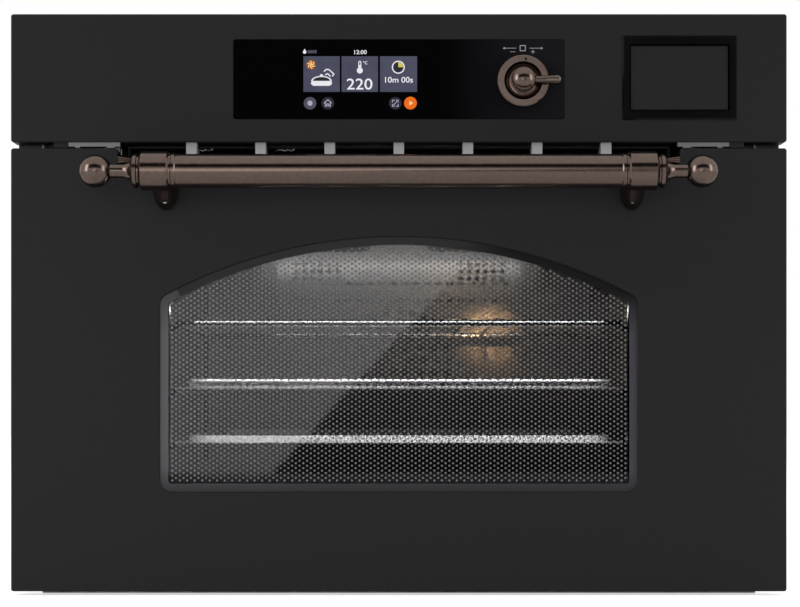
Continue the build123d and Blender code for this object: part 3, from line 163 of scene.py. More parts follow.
def hang_lamp(lamp, place, aim):
    """Puts a lamp in the scene at its place, turned towards what it lights."""
    holder = bpy.data.objects.new(lamp.name, lamp)
    bpy.context.scene.collection.objects.link(holder)
    holder.location = place
    holder.rotation_euler = (Vector(aim) - Vector(place)).to_track_quat("-Z", "Y").to_euler()
    return holder


for name, place, aim, size, power in lamps:
    box = bpy.data.lights.new(name, "AREA")
    box.shape = "RECTANGLE"
    box.size, box.size_y = size
    box.energy = power
    holder = hang_lamp(box, place, aim)
    holder.visible_camera = False
    holder.visible_glossy = name not in unmirrored

# The oven lamp's own beam, warm white, leaves the lens in the ceiling and falls on the fan baffle.
lens_place, baffle_spot = (0.062, 0.225, 0.298), (0.09, 0.415, 0.211)
beam = bpy.data.lights.new("oven_lamp_beam", "SPOT")
beam.energy = 5.0
beam.color = linear("#ffc98a")[:3]
beam.spot_size = math.radians(19)
beam.spot_blend = 0.8
beam.shadow_soft_size = 0.012
hang_lamp(beam, lens_place, baffle_spot)

# Cards that only reflections see, behind the camera, each placed by the part of the front that mirrors it.
# Two black ones darken the tank's bezel and the window, one black one high up draws the dark line along
# the handle, and a white one gives the window its slanted reflection.
flag_y, white_card_y = -2.7, -2.62


def mirrored(card_y, *points):
    """Corners of a card at that depth that covers these points of the front in its reflection."""
    reach = (camera_distance - card_y + door_face_y) / camera_distance
    return [(x * reach, card_y, camera_height + (z - camera_height) * reach) for x, z in points]


def stage_card(name, corners, code, glow):
    """A flat studio card that only reflections see, given by its corners."""
    card_mesh = bpy.data.meshes.new(name)
    card_mesh.from_pydata(corners, [], [tuple(range(len(corners)))])
    card = bpy.data.objects.new(name, card_mesh)
    bpy.context.scene.collection.objects.link(card)
    material, tree, shader = new_finish(name, {
        "Base Color": linear("#000000"), "Specular IOR Level": 0.0,
        "Emission Color": linear(code), "Emission Strength": glow,
    })
    card_mesh.materials.append(material)
    card.visible_camera = False
    card.visible_diffuse = False
    card.visible_shadow = False
    card.visible_transmission = False


bezel_corners = mirrored(flag_y, (0.15, 0.34), (0.28, 0.34), (0.28, 0.455), (0.15, 0.455))
window_corners = mirrored(flag_y, (-0.21, 0.06), (0.21, 0.06), (0.21, 0.30), (-0.21, 0.30))
top_corners = [(-2.4, -2.2, 0.98), (2.4, -2.2, 0.98), (2.4, -2.0, 2.2), (-2.4, -2.0, 2.2)]
slanted_corners = mirrored(white_card_y, (-0.22, 0.02), (-0.166, 0.02), (0.130, 0.34), (-0.22, 0.34))
stage_card("bezel_flag", bezel_corners, "#000000", 0.0)
stage_card("window_flag", window_corners, "#000000", 0.0)
stage_card("top_flag", top_corners, "#000000", 0.0)
stage_card("slanted_card", slanted_corners, "#ffffff", 2.7)

# Door panel, control fascia and tank front: steel sheet sprayed with a matt charcoal enamel and baked.
# The eye sees an even near-black with a faint orange-peel skin and a soft, wide sheen.
orange_peel_mm = 1.2


def dress(material, *names):
    """Gives the CAD nodes of these names one material."""
    for name in names:
        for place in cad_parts[name].material_slots:
            place.material = material


def speckle(tree, shader, grain_mm, relief, roughness):
    """Fine surface variation: a noise of that grain in millimetres drives roughness and bump."""
    where = add_node(tree, "ShaderNodeTexCoord")
    noise = add_node(
        tree, "ShaderNodeTexNoise", {"Scale": 1000.0 / grain_mm, "Detail": 4.0},
        {"Vector": where.outputs["Object"]},
    )
    low, high = roughness
    rough = add_node(
        tree, "ShaderNodeMapRange", {"To Min": low, "To Max": high}, {"Value": noise.outputs["Fac"]}
    )
    bump = add_node(
        tree, "ShaderNodeBump", {"Strength": relief, "Distance": 0.0001}, {"Height": noise.outputs["Fac"]}
    )
    tree.links.new(rough.outputs["Result"], shader.inputs["Roughness"])
    tree.links.new(bump.outputs["Normal"], shader.inputs["Normal"])
    return noise


def speckled_finish(name, values, grain_mm, relief, roughness, colours):
    """A material whose colour wavers between two tones with the same fine noise as its surface."""
    material, tree, shader = new_finish(name, values)
    noise = speckle(tree, shader, grain_mm, relief, roughness)
    tone = add_node(tree, "ShaderNodeValToRGB", {}, {"Fac": noise.outputs["Fac"]})
    for element, position, code in zip(tone.color_ramp.elements, (0.3, 0.7), colours):
        element.position = position
        element.color = linear(code)
    tree.links.new(tone.outputs["Color"], shader.inputs["Base Color"])
    return material


enamel = speckled_finish(
    "charcoal_enamel", {"IOR": 1.5, "Specular IOR Level": 0.22},
    grain_mm=orange_peel_mm, relief=0.08, roughness=(0.46, 0.54), colours=("#161617", "#191919"),
)
dress(enamel, "door_panel", "control_fascia", "tank_front")

# Tank bezel: a frame moulded in black ABS and polished, which lies on the fascia and reaches through it.
# The eye sees a flat, deep black band round the tank's front.
bezel_black = speckled_finish(
    "polished_black_abs", {"IOR": 1.54, "Specular IOR Level": 0.12},
    grain_mm=2.0, relief=0.03, roughness=(0.1, 0.15), colours=("#040405", "#070708"),
)
dress(bezel_black, "tank_bezel")

# Handle and knob: brass, turned and cast, then burnished to a dark bronze and lacquered.
# The eye sees long soft highlights over a brown-grey metal that is darker in the grooves.
bronze = speckled_finish(
    "burnished_bronze", {"Metallic": 1.0},
    grain_mm=3.0, relief=0.03, roughness=(0.17, 0.23), colours=("#62544d", "#6b5d56"),
)
dress(bronze, "handle_bar", "handle_ends", "handle_brackets", "knob")

# Display glass: a pane of clear glass printed black on its back, flush with the fascia.
# Its coating leaves only a trace of gloss, and the black lightens to charcoal from the screen to the knob.
pane_black, tree, shader = new_finish("black_printed_glass", {"IOR": 1.5, "Specular IOR Level": 0.012})
speckle(tree, shader, grain_mm=8.0, relief=0.004, roughness=(0.03, 0.05))
where = add_node(tree, "ShaderNodeTexCoord")
axes = add_node(tree, "ShaderNodeSeparateXYZ", {}, {"Vector": where.outputs["Object"]})
fade = add_node(
    tree, "ShaderNodeMapRange", {"From Min": 0.035, "From Max": 0.105}, {"Value": axes.outputs["X"]}
)
smoke = add_node(tree, "ShaderNodeValToRGB", {}, {"Fac": fade.outputs["Result"]})
smoke.color_ramp.elements[0].color = linear("#020203")
smoke.color_ramp.elements[1].color = linear("#19181b")
tree.links.new(smoke.outputs["Color"], shader.inputs["Base Color"])
dress(pane_black, "display_glass")

# Window glass: toughened float glass with a grey tint, held in the door behind the arched opening.
# The eye sees the cavity through it, darkened. Its tone wavers over about 80 mm, as float glass does.
tinted, tree, shader = new_finish("tinted_window_glass", {"IOR": 1.5, "Alpha": 0.3, "Roughness": 0.02})
where = add_node(tree, "ShaderNodeTexCoord")
waves = add_node(tree, "ShaderNodeTexNoise", {"Scale": 12.0}, {"Vector": where.outputs["Object"]})
tint = add_node(tree, "ShaderNodeValToRGB", {}, {"Fac": waves.outputs["Fac"]})
tint.color_ramp.elements[0].color = linear("#0b0b0c")
tint.color_ramp.elements[1].color = linear("#0e0e10")
tree.links.new(tint.outputs["Color"], shader.inputs["Base Color"])
dress(tinted, "window_glass")

# Middle and inner panes: clear float glass with a low-emission coat, set in the door's frame.
# They are almost unseen but for a weak reflection and a faint green tone.
clear, tree, shader = new_finish(
    "low_emission_glass", {"IOR": 1.5, "Alpha": 0.05, "Roughness": 0.03, "Specular IOR Level": 0.12}
)
where = add_node(tree, "ShaderNodeTexCoord")
waves = add_node(tree, "ShaderNodeTexNoise", {"Scale": 9.0}, {"Vector": where.outputs["Object"]})
tint = add_node(tree, "ShaderNodeValToRGB", {}, {"Fac": waves.outputs["Fac"]})
tint.color_ramp.elements[0].color = linear("#1c2220")
tint.color_ramp.elements[1].color = linear("#202624")
tree.links.new(tint.outputs["Color"], shader.inputs["Base Color"])
dress(clear, "middle_glass", "inner_glass")

# Cavity walls, rear wall and fan baffle: stainless steel sheet with a fine brushed grain.
# The eye sees a grey metal that smears highlights along the brushing and is slightly browned by heat.
# The grain is drawn about 30 mm long and under 1 mm wide, coarser than real brushing, so that it shows.
stainless, tree, shader = new_finish("brushed_stainless", {"Metallic": 0.85})
where = add_node(tree, "ShaderNodeTexCoord")
stretch = add_node(
    tree, "ShaderNodeMapping", {"Scale": (1.0, 1.0, 40.0)}, {"Vector": where.outputs["Object"]}
)
grain = add_node(
    tree, "ShaderNodeTexNoise", {"Scale": 30.0, "Detail": 5.0}, {"Vector": stretch.outputs["Vector"]}
)
tone = add_node(tree, "ShaderNodeValToRGB", {}, {"Fac": grain.outputs["Fac"]})
tone.color_ramp.elements[0].color = linear("#8d8b8a")
tone.color_ramp.elements[1].color = linear("#a09e9c")
rough = add_node(
    tree, "ShaderNodeMapRange", {"To Min": 0.32, "To Max": 0.45}, {"Value": grain.outputs["Fac"]}
)
bump = add_node(
    tree, "ShaderNodeBump", {"Strength": 0.05, "Distance": 0.0001}, {"Height": grain.outputs["Fac"]}
)
tree.links.new(tone.outputs["Color"], shader.inputs["Base Color"])
tree.links.new(rough.outputs["Result"], shader.inputs["Roughness"])
tree.links.new(bump.outputs["Normal"], shader.inputs["Normal"])
dress(stainless, "cavity_shell", "cavity_rear_wall", "fan_baffle")

# Baking tray and steam tray: pressed stainless sheet, blasted to an even pale satin.
# The eye sees light, soft rims that stay bright from every side.
satin = speckled_finish(
    "satin_stainless", {"Metallic": 0.35},
    grain_mm=1.5, relief=0.06, roughness=(0.4, 0.5), colours=("#cfcdd0", "#dddbde"),
)
dress(satin, "steam_tray", "baking_tray")

# The baking tray's wall ends in a rim, rolled outwards round a wire, in the same satin stainless sheet.
# It is a round bead along the rounded rectangle of the wall, and catches the light over the shaded wall.
bead_radius = 0.0019
rim_half_width = 0.1684
rim_inset = 0.0016
rim_below_top = 0.0017
rim_turn = 0.0114
rim_turn_steps = 6
tray_low, tray_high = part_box("baking_tray")
turn_x = rim_half_width - rim_turn
front_turn_y = tray_low.y + rim_inset + rim_turn
back_turn_y = tray_high.y - rim_inset - rim_turn
rim_route = []
for quarter, (x, y) in enumerate(
    ((turn_x, back_turn_y), (-turn_x, back_turn_y), (-turn_x, front_turn_y), (turn_x, front_turn_y))
):
    for step in range(rim_turn_steps + 1):
        angle = (quarter + step / rim_turn_steps) * math.pi / 2
        place = (x + rim_turn * math.cos(angle), y + rim_turn * math.sin(angle), tray_high.z - rim_below_top)
        rim_route.append(place)


def round_run(name, route, radius, facets, material, kind, **settings):
    """A round bead or wire along a route, made a mesh; the settings go to its spline."""
    curve = bpy.data.curves.new(name, "CURVE")
    curve.dimensions = "3D"
    curve.bevel_depth = radius
    curve.bevel_resolution = facets
    run = curve.splines.new(kind)
    run.points.add(len(route) - 1)
    for point, place in zip(run.points, route):
        point.co = (*place, 1.0)
    for setting, value in settings.items():
        setattr(run, setting, value)
    piece = bpy.data.objects.new(name, curve)
    bpy.context.scene.collection.objects.link(piece)
    bpy.ops.object.select_all(action="DESELECT")
    piece.select_set(True)
    bpy.context.view_layer.objects.active = piece
    bpy.ops.object.convert(target="MESH")
    piece = bpy.context.object
    piece.data.materials.clear()
    piece.data.materials.append(material)
    bpy.ops.object.shade_smooth()
    return piece


rim = round_run("baking_tray_rolled_rim", rim_route, bead_radius, 3, satin, "POLY", use_cyclic_u=True)
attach(rim, "baking_tray")

# Racks, ladders, pins and screws: steel wire, strip and bar, welded or turned, with bright chrome plating.
# The eye sees thin bright lines with crisp dark edges.
plating = speckled_finish(
    "bright_plating", {"Metallic": 1.0},
    grain_mm=2.5, relief=0.03, roughness=(0.14, 0.22), colours=("#c9c9ca", "#d6d6d7"),
)
dress(plating, "wire_rack", "shelf_ladders", "hinge_pins", "body_screws", "handle_screws", "encoder_shaft")

# Vent clips: stamped spring steel plates with a dull nickel coat, one on either side of the vent.
# The eye sees a flat grey plate with two small feet and no hard highlight.
nickel = speckled_finish(
    "dull_nickel", {"Metallic": 1.0},
    grain_mm=1.0, relief=0.05, roughness=(0.42, 0.5), colours=("#77777a", "#838386"),
)
dress(nickel, "vent_clips")

# Body sheets, hinge units, motors and fan wheels: folded and pressed hot-dip galvanised steel.
# The zinc has frozen in large faint flakes, about 9 mm wide, each with its own tone and gloss.
galvanised, tree, shader = new_finish("galvanised_sheet", {"Metallic": 0.8})
where = add_node(tree, "ShaderNodeTexCoord")
flakes = add_node(
    tree, "ShaderNodeTexVoronoi", {"Scale": 110.0, "Randomness": 1.0}, {"Vector": where.outputs["Object"]}
)
flake_tone = add_node(tree, "ShaderNodeSeparateColor", {}, {"Color": flakes.outputs["Color"]})
tone = add_node(tree, "ShaderNodeValToRGB", {}, {"Fac": flake_tone.outputs["Red"]})
tone.color_ramp.elements[0].color = linear("#a2a5a7")
tone.color_ramp.elements[1].color = linear("#b4b7b9")
rough = add_node(
    tree, "ShaderNodeMapRange", {"To Min": 0.38, "To Max": 0.55}, {"Value": flake_tone.outputs["Green"]}
)
tree.links.new(tone.outputs["Color"], shader.inputs["Base Color"])
tree.links.new(rough.outputs["Result"], shader.inputs["Roughness"])
dress(
    galvanised, "base_plate", "side_panels", "top_cover", "rear_cover", "hinge_units", "hinge_brackets",
    "lamp_housing", "convection_motor", "cooling_motor", "convection_fan", "cooling_impeller",
)

# Front frame, door frame and mounting flanges: pressed steel sheet with black stove enamel.
# The eye sees a smooth black that is glossier than the front.
stove_enamel = speckled_finish(
    "black_stove_enamel", {"IOR": 1.5},
    grain_mm=1.5, relief=0.06, roughness=(0.22, 0.32), colours=("#101011", "#141415"),
)
dress(stove_enamel, "front_frame", "door_frame", "mounting_flanges")

# Heating elements: bent steel tube round a heating wire packed in mineral powder.
# Its skin has oxidised to a dull grey-brown.
oxidised = speckled_finish(
    "oxidised_tube", {"Metallic": 0.6},
    grain_mm=4.0, relief=0.1, roughness=(0.45, 0.6), colours=("#4a4540", "#5c554e"),
)
dress(oxidised, "grill_element", "ring_heater", "bottom_heater")

# Vent channel, duct, tank sleeve, terminal block and glass clips: moulded black polyamide.
# It has a fine spark grain and next to no sheen, as has the black silicone of the door seal.
polyamide = speckled_finish(
    "black_polyamide", {"IOR": 1.5, "Specular IOR Level": 0.3},
    grain_mm=0.8, relief=0.2, roughness=(0.55, 0.7), colours=("#08080a", "#0c0c0e"),
)
dress(polyamide, "vent_channel", "cooling_duct", "tank_sleeve", "terminal_block", "glass_clips", "door_seal")

# Vent ribs: upright bars of the same plastic in a light grey, set in the channel's mouth.
# The eye sees a row of pale blocks in a black slot.
rib_grey = speckled_finish(
    "grey_polyamide", {"IOR": 1.5, "Specular IOR Level": 0.3},
    grain_mm=0.8, relief=0.2, roughness=(0.5, 0.6), colours=("#9c9c9c", "#a6a6a6"),
)
dress(rib_grey, "vent_ribs")

# Water tank, its lid, the pump's case and the display's case: moulded grey polypropylene.
# The eye sees a waxy dark grey, but only when the tank is drawn out.
polypropylene = speckled_finish(
    "grey_polypropylene", {"IOR": 1.49},
    grain_mm=1.0, relief=0.1, roughness=(0.35, 0.45), colours=("#3c3d40", "#424347"),
)
dress(polypropylene, "water_tank", "tank_lid", "water_pump", "display_module")

# Insulation: a blanket of glass wool, wrapped round the cavity.
# It is yellow-grey, fibrous and quite without sheen.
wool = speckled_finish(
    "glass_wool", {"Specular IOR Level": 0.1},
    grain_mm=6.0, relief=0.9, roughness=(0.9, 1.0), colours=("#b5a878", "#d0c69c"),
)
dress(wool, "insulation_wrap")

# Boards: woven glass and epoxy with an etched copper layer, under a green solder resist.
# The eye sees an even dark green with a slight gloss.
resist = speckled_finish(
    "green_solder_resist", {"IOR": 1.55},
    grain_mm=3.0, relief=0.1, roughness=(0.3, 0.4), colours=("#1c4a2c", "#235535"),
)
dress(resist, "control_board", "power_board")

# Steam generator: a cast aluminium pot with a heater cast in, bolted behind the cavity.
# Its skin keeps the grain of the sand mould.
casting = speckled_finish(
    "cast_aluminium", {"Metallic": 1.0},
    grain_mm=1.5, relief=0.4, roughness=(0.45, 0.6), colours=("#9a9b9d", "#a9aaac"),
)
dress(casting, "steam_generator")

# Hoses: extruded silicone rubber, pushed on the ports of the tank's sleeve, the pump and the generator.
# The eye sees a milky grey.
silicone = speckled_finish(
    "silicone_rubber", {"IOR": 1.43},
    grain_mm=3.0, relief=0.05, roughness=(0.4, 0.5), colours=("#c9c7bf", "#d4d2ca"),
)
dress(silicone, "water_hoses")

# Lamp: a halogen capsule behind a pressed glass lens in the cavity's ceiling.
# Both glow with its warm white.
lamp_glass = speckled_finish(
    "lit_lamp_glass", {"IOR": 1.5, "Emission Color": linear("#ffd9a0"), "Emission Strength": 14.0},
    grain_mm=3.0, relief=0.2, roughness=(0.1, 0.2), colours=("#f2e3c4", "#f7ecd6"),
)
dress(lamp_glass, "lamp_lens", "lamp_bulb")

# Printed border of the window: a dark grey ceramic band fired on the glass along the opening.
# Two closed outlines of the arch, one under the panel and one further in, are bridged to a flat band.
opening_half = 0.1832
opening_low = 0.0794
opening_corner = 0.0085
arch_foot_z, arch_top_z = 0.228, 0.2751
arch_rise = arch_top_z - arch_foot_z
arch_radius = (opening_half**2 + arch_rise**2) / (2 * arch_rise)
arch_centre_z = arch_top_z - arch_radius
border_under_panel, border_width = 0.004, 0.0062
corner_steps, arch_steps = 8, 20
print_thickness = 0.00008
print_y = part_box("window_glass")[0].y - print_thickness
shaded_above = 0.232


def opening_outline(margin):
    """Points round the arched opening, pulled in by the margin, in x and z."""
    half, low, arch = opening_half - margin, opening_low + margin, arch_radius - margin
    corner = opening_corner - margin
    turn_x = half - corner
    turn_z = arch_centre_z + math.sqrt((arch - corner) ** 2 - turn_x**2)
    lean = math.atan2(turn_z - arch_centre_z, turn_x)
    right = []
    for step in range(corner_steps + 1):
        angle = math.pi / 2 * (step / corner_steps - 1)
        right.append((turn_x + corner * math.cos(angle), low + corner + corner * math.sin(angle)))
    for step in range(corner_steps + 1):
        angle = lean * step / corner_steps
        right.append((turn_x + corner * math.cos(angle), turn_z + corner * math.sin(angle)))
    for step in range(1, arch_steps):
        angle = lean + (math.pi / 2 - lean) * step / arch_steps
        right.append((arch * math.cos(angle), arch_centre_z + arch * math.sin(angle)))
    return right + [(0.0, arch_centre_z + arch)] + [(-x, z) for x, z in reversed(right)]


def face_forward(piece):
    """Turns a flat printed piece so that its faces look out of the front."""
    if sum(face.normal.y for face in piece.data.polygons) > 0:
        bpy.ops.object.mode_set(mode="EDIT")
        bpy.ops.mesh.select_all(action="SELECT")
        bpy.ops.mesh.flip_normals()
        bpy.ops.object.mode_set(mode="OBJECT")


outer, inner = opening_outline(-border_under_panel), opening_outline(border_width)
bpy.ops.mesh.primitive_circle_add(vertices=len(outer), radius=0.2, location=(0, 0, 0))
band = bpy.context.object
band.name = "window_printed_border"
bpy.ops.object.mode_set(mode="EDIT")
bpy.ops.mesh.primitive_circle_add(vertices=len(inner), radius=0.1, location=(0, 0, 0))
bpy.ops.object.mode_set(mode="OBJECT")
for vertex, (x, z) in zip(band.data.vertices, outer + inner):
    vertex.co = (x, print_y, z)
bpy.ops.object.mode_set(mode="EDIT")
bpy.ops.mesh.select_all(action="SELECT")
bpy.ops.mesh.bridge_edge_loops()
bpy.ops.object.mode_set(mode="OBJECT")
face_forward(band)

# The grey print carries painted shade: it is darker towards its lowest edge and lighter along the sides.
# Under the arch, where the panel's edge shades it, it turns to a matter near-black that is painted shade.
ceramic, tree, shader = new_finish("grey_ceramic_print_painted_shade", {"IOR": 1.5, "Specular IOR Level": 0.22})
speckle(tree, shader, grain_mm=1.0, relief=0.02, roughness=(0.06, 0.1))
where = add_node(tree, "ShaderNodeTexCoord")
axes = add_node(tree, "ShaderNodeSeparateXYZ", {}, {"Vector": where.outputs["Object"]})
rise = add_node(
    tree, "ShaderNodeMapRange", {"From Min": 0.08, "From Max": 0.233}, {"Value": axes.outputs["Z"]}
)
# These tones are painted shade over the print's own grey: dark at the bottom, light along the sides, dark
# under the arch.
painted_shade_tones = add_node(tree, "ShaderNodeValToRGB", {}, {"Fac": rise.outputs["Result"]})
painted_shade_tones.color_ramp.elements[0].color = linear("#2c2a2e")
painted_shade_tones.color_ramp.elements[1].color = linear("#1c1b1e")
for level in (0.12, 0.78):
    painted_shade_tones.color_ramp.elements.new(level).color = linear("#48464b")
tree.links.new(painted_shade_tones.outputs["Color"], shader.inputs["Base Color"])
arch_painted_shade = speckled_finish(
    "black_painted_shade_print", {"IOR": 1.5, "Specular IOR Level": 0.08},
    grain_mm=1.0, relief=0.02, roughness=(0.06, 0.1), colours=("#1d1d1f", "#222224"),
)
band.data.materials.append(ceramic)
band.data.materials.append(arch_painted_shade)
# The faces under the arch take the second material, a near-black painted shade.
for face in band.data.polygons:
    if face.center.z > shaded_above:
        face.material_index = 1
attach(band, "door")

# Printed dots of the window: light grey ceramic dots in a staggered lattice, 5.75 mm apart in a row.
# One dot is modelled and repeated over the window, and the dots beyond the arch are taken away.
dot_pitch = 0.00575
row_pitch = 0.00378
dot_radius = 0.00092
dots_across = 64
dots_up = 52
dot_margin = 0.0075
first_row_up = 0.003
first_column_x = -dot_pitch * (dots_across - 1) / 2 - dot_pitch / 4
first_dot = Vector((first_column_x, print_y, opening_low + first_row_up))
bpy.ops.mesh.primitive_circle_add(
    vertices=8, radius=dot_radius, fill_type="NGON", rotation=(math.pi / 2, 0, 0)
)
dots = bpy.context.object
dots.name = "window_printed_dots"
bpy.ops.object.transform_apply(location=True, rotation=True, scale=True)
bpy.ops.object.mode_set(mode="EDIT")
bpy.ops.mesh.select_all(action="SELECT")
bpy.ops.mesh.duplicate_move(TRANSFORM_OT_translate={"value": (dot_pitch / 2, 0, row_pitch / 2)})
bpy.ops.object.mode_set(mode="OBJECT")
for name, count, step in (("across", dots_across, (dot_pitch, 0, 0)), ("up", dots_up, (0, 0, row_pitch))):
    repeat = dots.modifiers.new(name, "ARRAY")
    repeat.count = count
    repeat.use_relative_offset = False
    repeat.use_constant_offset = True
    repeat.constant_offset_displace = step
    bpy.ops.object.modifier_apply(modifier=name)
for vertex in dots.data.vertices:
    vertex.co += first_dot
bpy.ops.object.mode_set(mode="EDIT")
bpy.ops.mesh.select_all(action="DESELECT")
bpy.ops.object.mode_set(mode="OBJECT")
for face in dots.data.polygons:
    x, _, z = face.center
    in_box = abs(x) < opening_half - dot_margin and z > opening_low + dot_margin
    if not in_box or math.hypot(x, z - arch_centre_z) > arch_radius - dot_margin:
        for corner in face.vertices:
            dots.data.vertices[corner].select = True
bpy.ops.object.mode_set(mode="EDIT")
bpy.ops.mesh.delete(type="VERT")
bpy.ops.object.mode_set(mode="OBJECT")
dot_print = speckled_finish(
    "light_ceramic_print", {"IOR": 1.5},
    grain_mm=1.0, relief=0.02, roughness=(0.25, 0.35), colours=("#5c5c5e", "#666668"),
)
dots.data.materials.append(dot_print)
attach(dots, "door")

# Screen picture: three blue-grey tiles, four round buttons and plain symbols, which a flat colour screen
# shows through the display glass. Each colour is one flat piece, drawn with discs, bars and strokes just in
# front of the black pane. The four layers lie hundredths of a millimetre apart, so that no colours mix.
screen_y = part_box("display_glass")[0].y
tile_lift, shape_lift, inner_lift, top_lift = 0.00004, 0.00007, 0.00010, 0.00013
smooth_disc, smoothest_disc, triangle = 28, 32, 3


def start_print(name):
    """An empty mesh in edit mode, to which flat shapes are then added."""
    mesh = bpy.data.meshes.new(name)
    piece = bpy.data.objects.new(name, mesh)
    bpy.context.scene.collection.objects.link(piece)
    bpy.ops.object.select_all(action="DESELECT")
    piece.select_set(True)
    bpy.context.view_layer.objects.active = piece
    bpy.ops.object.mode_set(mode="EDIT")
    return piece


def disc(x, z, radius, lift, corners=20, turn=0.0):
    """A flat disc or even-sided polygon on the glass, turned in the plane of the glass."""
    bpy.ops.mesh.primitive_circle_add(
        vertices=corners, radius=radius, fill_type="NGON", location=(x, screen_y - lift, z),
        rotation=(math.pi / 2, turn, 0),
    )


def bar(x, z, length, height, lift, turn=0.0):
    """A flat rectangle on the glass, turned in the plane of the glass."""
    middle = (x, screen_y - lift, z)
    bpy.ops.mesh.primitive_plane_add(size=1.0, location=middle, rotation=(math.pi / 2, 0, 0))
    bpy.ops.transform.resize(value=(length, 1.0, height), center_override=middle)
    if turn:
        bpy.ops.transform.rotate(value=turn, orient_axis="Y", center_override=middle)


def stroke(x, z, points, width, lift):
    """A line of even width with round joints, through points given from a symbol's middle."""
    places = [(x + across, z + up) for across, up in points]
    for place in places:
        disc(*place, width / 2, lift, 10)
    for (from_x, from_z), (to_x, to_z) in zip(places, places[1:]):
        length = math.hypot(to_x - from_x, to_z - from_z)
        slope = math.atan2(to_z - from_z, to_x - from_x)
        bar((from_x + to_x) / 2, (from_z + to_z) / 2, length, width, lift, slope)


def dome(x, z, radius, lift, flatten):
    """The upper half of a disc, flattened to a low dome."""
    disc(x, z, radius, lift, smooth_disc)
    bpy.ops.transform.resize(value=(1.0, 1.0, flatten), center_override=(x, screen_y - lift, z))
    bpy.ops.mesh.bisect(plane_co=(x, screen_y, z), plane_no=(0, 0, -1), clear_outer=True)


def lit(name, code, other, glow, grain_mm=0.6):
    """A lit screen colour with the faint unevenness of the pixels behind the glass."""
    material, tree, shader = new_finish(name, {
        "Base Color": linear("#020203"), "Roughness": 0.3, "Specular IOR Level": 0.0,
        "Emission Strength": glow,
    })
    where = add_node(tree, "ShaderNodeTexCoord")
    pixels = add_node(
        tree, "ShaderNodeTexNoise", {"Scale": 1000.0 / grain_mm}, {"Vector": where.outputs["Object"]}
    )
    tone = add_node(tree, "ShaderNodeValToRGB", {}, {"Fac": pixels.outputs["Fac"]})
    for element, position, shade in zip(tone.color_ramp.elements, (0.35, 0.65), (code, other)):
        element.position = position
        element.color = linear(shade)
    tree.links.new(tone.outputs["Color"], shader.inputs["Emission Color"])
    return material


def finish_print(piece, material):
    """Ends a printed or lit piece: one material, faces to the front, fixed to the oven."""
    bpy.ops.object.mode_set(mode="OBJECT")
    face_forward(piece)
    piece.data.materials.append(material)
    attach(piece, "oven_body")


# Tiles: three fields of slate blue side by side, each given by its middle and its width.
tile_z, tile_height = 0.39965, 0.0273
tiles = start_print("screen_tiles")
for x, width in ((-0.0592, 0.0279), (-0.0299, 0.0279), (-0.0002, 0.0284)):
    bar(x, tile_z, width, tile_height, tile_lift)
finish_print(tiles, lit("screen_slate_blue", "#484a5c", "#4e5062", 1.0, 9.0))

# White shapes: a steaming dish with its lid on, a thermometer, a clock's rim and a drop of water.
dish_x, dish_z = -0.0593, 0.3941
thermometer_x, thermometer_z = -0.0299, 0.4055
clock_x, clock_z = -0.0004, 0.4049
drop_x, drop_z = -0.0722, 0.4165
steam_width = 0.0009
long_curl = ((0.0021, 0.0077), (0.0037, 0.0092), (0.0059, 0.0089), (0.0095, 0.0055), (0.0085, 0.0041))
short_curl = ((0.0031, 0.0051), (0.0047, 0.0059), (0.0067, 0.0039))
white_shapes = start_print("screen_white_shapes")
dome(dish_x, dish_z, 0.0080, shape_lift, 0.52)
bar(dish_x, dish_z - 0.0017, 0.0134, 0.0035, shape_lift)
for side in (-1, 1):
    disc(dish_x + side * 0.0067, dish_z - 0.0014, 0.0014, shape_lift)
disc(dish_x, dish_z + 0.0043, 0.0012, shape_lift)
for curl in (long_curl, short_curl):
    stroke(dish_x, dish_z, curl, steam_width, shape_lift)
bar(thermometer_x, thermometer_z, 0.0023, 0.0060, shape_lift)
disc(thermometer_x, thermometer_z + 0.0031, 0.00115, shape_lift)
disc(thermometer_x, thermometer_z - 0.0031, 0.0023, shape_lift)
disc(clock_x, clock_z, 0.0050, shape_lift, smoothest_disc)
disc(drop_x, drop_z, 0.0013, shape_lift, 14)
disc(drop_x, drop_z + 0.0014, 0.0012, shape_lift, triangle)
finish_print(white_shapes, lit("screen_white", "#e6e6ee", "#f4f4fa", 0.95))

# Dark shapes: the hollow of the dish, the thermometer's bore, the clock's face and two of the buttons.
home_x, frame_x, button_z, button_radius = -0.0544, -0.0027, 0.3773, 0.0048
inner_shapes = start_print("screen_inner_shapes")
dome(dish_x, dish_z + 0.0003, 0.0066, inner_lift, 0.46)
bar(thermometer_x, thermometer_z + 0.0022, 0.0009, 0.0022, inner_lift)
disc(clock_x, clock_z, 0.0041, inner_lift, smoothest_disc)
for x in (home_x, frame_x):
    disc(x, button_z, button_radius, shape_lift, smooth_disc)
finish_print(inner_shapes, lit("screen_dark_slate", "#2b2b33", "#33333c", 1.0, 3.0))

# Grey shapes: the power button at the left, and four small bars beside the drop for the water's level.
power_x = -0.0681
first_level_x, level_z, level_pitch, level_width, level_height = -0.0691, 0.4168, 0.0018, 0.0015, 0.0024
grey_shapes = start_print("screen_grey_buttons")
disc(power_x, button_z, button_radius, shape_lift, smooth_disc)
for step in range(4):
    bar(first_level_x + step * level_pitch, level_z, level_width, level_height, shape_lift)
finish_print(grey_shapes, lit("screen_button_grey", "#4c4c58", "#565664", 1.0, 3.0))

